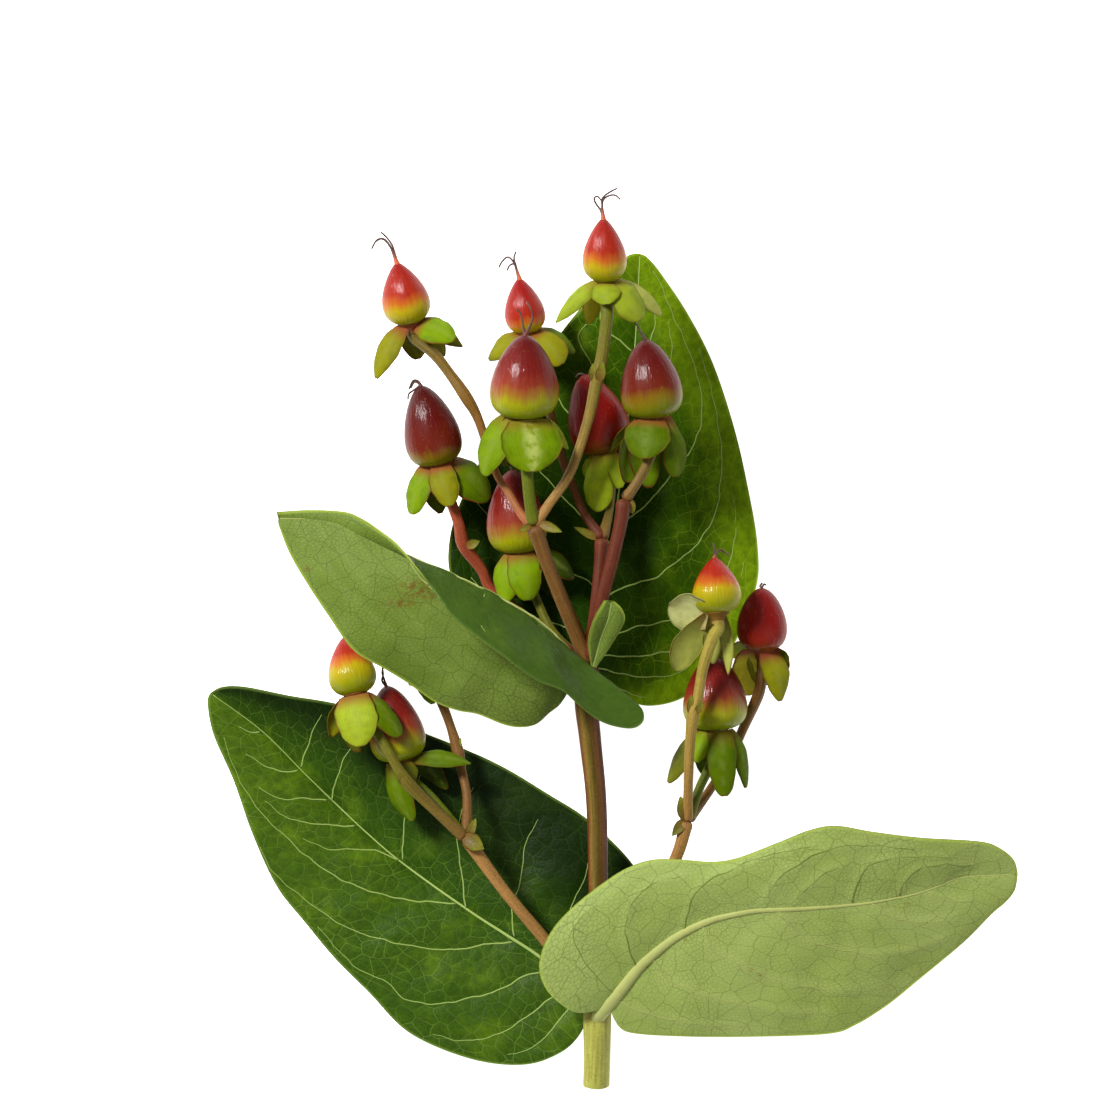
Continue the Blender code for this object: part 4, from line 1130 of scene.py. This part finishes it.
def make_calyx(name, fruit):
    """Five cupped sepals with curled tips and rippled margins, round the seat of the berry."""
    rng = random.Random(SEED * 17 + int(fruit.seat[1]))
    seat, axis, _, _ = fruit_frame(fruit)
    top_radius = fruit.width * 0.25 * MM
    piece = Piece("calyx_" + name, "_sepals")
    share = np.linspace(0, 1, RECEPTACLE_RINGS)
    bowl = np.array([seat - axis * (RECEPTACLE_HEIGHT * (1 - s)) for s in share])
    radii = STALK_ENDS[name] + (top_radius - STALK_ENDS[name]) * share ** 1.6
    piece.add_tube(tube_rings(bowl, radii, RECEPTACLE_SIDES), 0, along=0.0, across=0.9,
                   colour=SEPAL_COLOURS["olive"], blush=fruit.blush, stripe=0.0, hem=1.0)
    u, v = blade_grid(*SEPAL_GRID)
    u = 1 - (1 - u) ** 1.5
    for row in SEPALS[name].split():
        *numbers, kind, colour = row.split(",")
        x, y, height, width = map(float, numbers)
        root, along, away, across = sepal_frame(seat, axis, spot(x, y, height),
                                                top_radius - SEPAL_ROOT_INSET)
        half = sepal_width(u, kind) * width / 2 * MM
        cup = rng.uniform(*SEPAL_CUP)
        curl = rng.uniform(*SEPAL_CURL)
        twist = rng.uniform(*SEPAL_TWIST)
        arch = (SEPAL_ARCH * 4 * u * (1 - u) * along.length - cup * v * v * half
                + curl * along.length * u ** 4)
        arch = arch + SEPAL_PUCKER * half * np.sin(5 * u + rng.uniform(0, 6)) * v
        ripple = rng.uniform(0, 6)
        slow, quick = SEPAL_RIPPLES
        half = half * (1 + slow * np.sin(9 * u + ripple) * np.sign(v)
                       + quick * np.sin(23 * u + ripple))
        root, along, away, across = (np.array(w) for w in (root, along, away, across))
        middle = (root + along * u[..., None] + away * (arch + twist * v * half * u)[..., None]
                  + across * (v * half)[..., None])
        points, faces = blade_solid(middle, away, SEPAL_THICKNESS)
        # Wide sepals get a strong painted highlight down their middle, narrow ones a faint one.
        piece.add(points, faces, 0, along=u, across=v, blush=fruit.blush,
                  colour=np.array(SEPAL_COLOURS[colour]) * rng.uniform(*SEPAL_TONE),
                  stripe=WIDE_HIGHLIGHT if width > WIDE_SEPAL else PLAIN_HIGHLIGHT,
                  hem=np.minimum(1 - np.abs(v), (1 - u) * 3))
    piece.finish("calyx", SEPAL)


def stalk_shares(length, first, last):
    """Shares of a stalk's length for its rings, closer together at the two domed ends."""
    steps = np.linspace(0, 1, max(int(length / STALK_STEP), 8) + 1)
    close = np.array([0.03, 0.12, 0.3, 0.6])
    return np.unique(np.concatenate([steps, close * first / length, 1 - close * last / length]))


def dome(reach, radius):
    """Factor that rounds a tube's end off within one radius of it."""
    inside = np.clip(1 - reach / radius, 0, 0.998)
    return np.sqrt(1 - inside ** 2)


def near(reach, strength, size):
    """Falls off smoothly from its strength at no reach to nothing a few sizes away."""
    return strength * np.exp(-(reach / size) ** 2)


def blend(start, finish, share):
    return np.array(start) * (1 - share) + np.array(finish) * share


def add_stalk(piece, number, points, fruit_name, start, finish):
    """One stalk, swollen and domed where it joins others. Stalk 0 is the main one."""
    is_trunk = number == 0
    knots = [(*spot(*p[:3]), p[3] * MM) for p in points]
    if fruit_name:
        seat, axis, _, _ = fruit_frame(FRUITS[fruit_name])
        end = seat - axis * (RECEPTACLE_HEIGHT + STALK_GAP)
        knots += [(*(end - axis * STALK_NECK), knots[-1][3]), (*end, knots[-1][3] * 1.02)]
    path = Path(knots)
    share = stalk_shares(path.length, knots[0][3], knots[-1][3])
    line = path.at(share)
    reach = share * path.length
    left = path.length - reach
    domed = np.ones(len(share))
    if not is_trunk:
        domed *= dome(reach, line[0, 3])
        line[:, 3] *= 1 + near(reach, *ROOT_SWELL)
    if not fruit_name:
        domed *= dome(left, line[-1, 3])
        line[:, 3] *= 1 + near(left, *END_SWELL)
    line[:, 3] *= domed
    sides = TRUNK_SIDES if is_trunk else STALK_SIDES
    centres = line[:, None, :3]
    angle = turns(sides)
    ridge = 1 + STALK_RIDGES[0] * np.cos(2 * angle) + STALK_RIDGES[1] * np.cos(5 * angle + number)
    rings = centres + (tube_rings(line[:, :3], line[:, 3], sides) - centres) * ridge[:, None]
    around = np.tile(np.cos(angle), len(share))
    if is_trunk:
        bark = np.stack([np.interp(around, TRUNK_ACROSS, part) for part in zip(*TRUNK_COLOURS)],
                        axis=-1)
        first, soft = CUT_END_SHARE
        above_cut = np.clip((np.repeat(share, sides) - first) / soft, 0, 1)[:, None]
        bark = blend(CUT_END_COLOUR, bark, above_cut)
    else:
        bark = np.repeat(blend(BARK[start], BARK[finish], share[:, None]), sides, axis=0)
        joint = near(np.minimum(reach, left), *JOINT_STAIN)
        bark = blend(bark, JOINT_COLOUR, np.repeat(joint, sides)[:, None])
    grain = np.stack([around * 5, np.tile(np.sin(angle) * 5, len(share)),
                      np.repeat(share * path.length / MM * 0.12, sides) + number * 7], axis=-1)
    piece.add_tube(rings, 0, bark=bark, grain=grain)


def add_bract(piece, root, tip, width):
    """A small pointed scale, brown at its root and green at its tip."""
    u, v = blade_grid(*BRACT_GRID)
    root, tip = np.array(spot(*root)), np.array(spot(*tip))
    along = tip - root
    across = np.cross(along, (0, 0, 1.0))
    across /= np.linalg.norm(across)
    away = np.cross(across, along)
    away /= np.linalg.norm(away)
    half = width / 2 * MM * sepal_width(u, "long")
    lift = 0.5 * width * MM * u * (1 - u) + 0.25 * v * v * half
    middle = (root + along * (1.1 * u - 0.1)[..., None] + away * lift[..., None]
              + across * (v * half)[..., None])
    points, faces = blade_solid(middle, away, BRACT_THICKNESS)
    piece.add(points, faces, 0, bark=blend(*BRACT_COLOURS, u[..., None]), grain=points * 300)


def make_stem():
    piece = Piece("stem", "_stalks")
    for number, (text, fruit_name, start, finish) in enumerate(STALKS):
        add_stalk(piece, number, read_points(text), fruit_name, start, finish)
    for bract in BRACTS:
        add_bract(piece, *bract)
    piece.finish("stem", STALK)


def make_stage():
    """A wide plain white floor."""
    mesh = bpy.data.meshes.new("floor")
    corners = [(x * FLOOR_HALF, y * FLOOR_HALF, 0) for x, y in ((-1, -1), (1, -1), (1, 1), (-1, 1))]
    mesh.from_pydata(corners, [], [(0, 1, 2, 3)])
    floor = bpy.data.objects.new("floor", mesh)
    bpy.context.scene.collection.objects.link(floor)
    s = Shader("floor_paper")
    s.finish((0.9, 0.9, 0.89), 0.9, Specular_IOR_Level=0.1, Emission_Color=(1, 1, 1, 1),
             Emission_Strength=FLOOR_GLOW)
    mesh.materials.append(s.material)


def area_light(name, place, size, power):
    light = bpy.data.lights.new(name, "AREA")
    light.shape = "RECTANGLE"
    light.size, light.size_y = size
    light.energy = power
    obj = bpy.data.objects.new(name, light)
    obj.location = place
    aim = LIGHT_AIM - Vector(place)
    obj.rotation_euler = aim.to_track_quat("-Z", "Y").to_euler()
    bpy.context.scene.collection.objects.link(obj)


def make_light_and_camera():
    """A small bright window at the upper left, a weak fill, and a camera that looks straight down."""
    scene = bpy.context.scene
    world = bpy.data.worlds.new("studio")
    world.use_nodes = True
    sky = world.node_tree.nodes["Background"]
    sky.inputs["Color"].default_value = (1, 1, 1, 1)
    sky.inputs["Strength"].default_value = WORLD_LIGHT
    scene.world = world
    area_light(*WINDOW)
    area_light(*FILL)
    scene.view_settings.view_transform = "Standard"
    camera = bpy.data.cameras.new("camera")
    camera.sensor_width = SENSOR_MM
    camera.lens = SENSOR_MM * CAMERA_DISTANCE / (PHOTO_PIXELS * PIXEL)
    camera.clip_end = 20
    obj = bpy.data.objects.new("camera", camera)
    middle = spot(PHOTO_PIXELS / 2, PHOTO_PIXELS / 2)
    obj.location = middle + Vector((0, 0, CAMERA_DISTANCE + CAMERA_FOCUS_HEIGHT))
    scene.collection.objects.link(obj)
    scene.camera = obj


STALK_ENDS = {fruit_name: read_points(text)[-1][3] * MM
              for text, fruit_name, _, _ in STALKS if fruit_name}
make_stem()
for leaf_name, leaf_plan in LEAVES.items():
    make_leaf(leaf_name, leaf_plan)
for fruit_name, fruit in FRUITS.items():
    make_berry(fruit_name, fruit)
    make_calyx(fruit_name, fruit)
make_stage()
make_light_and_camera()
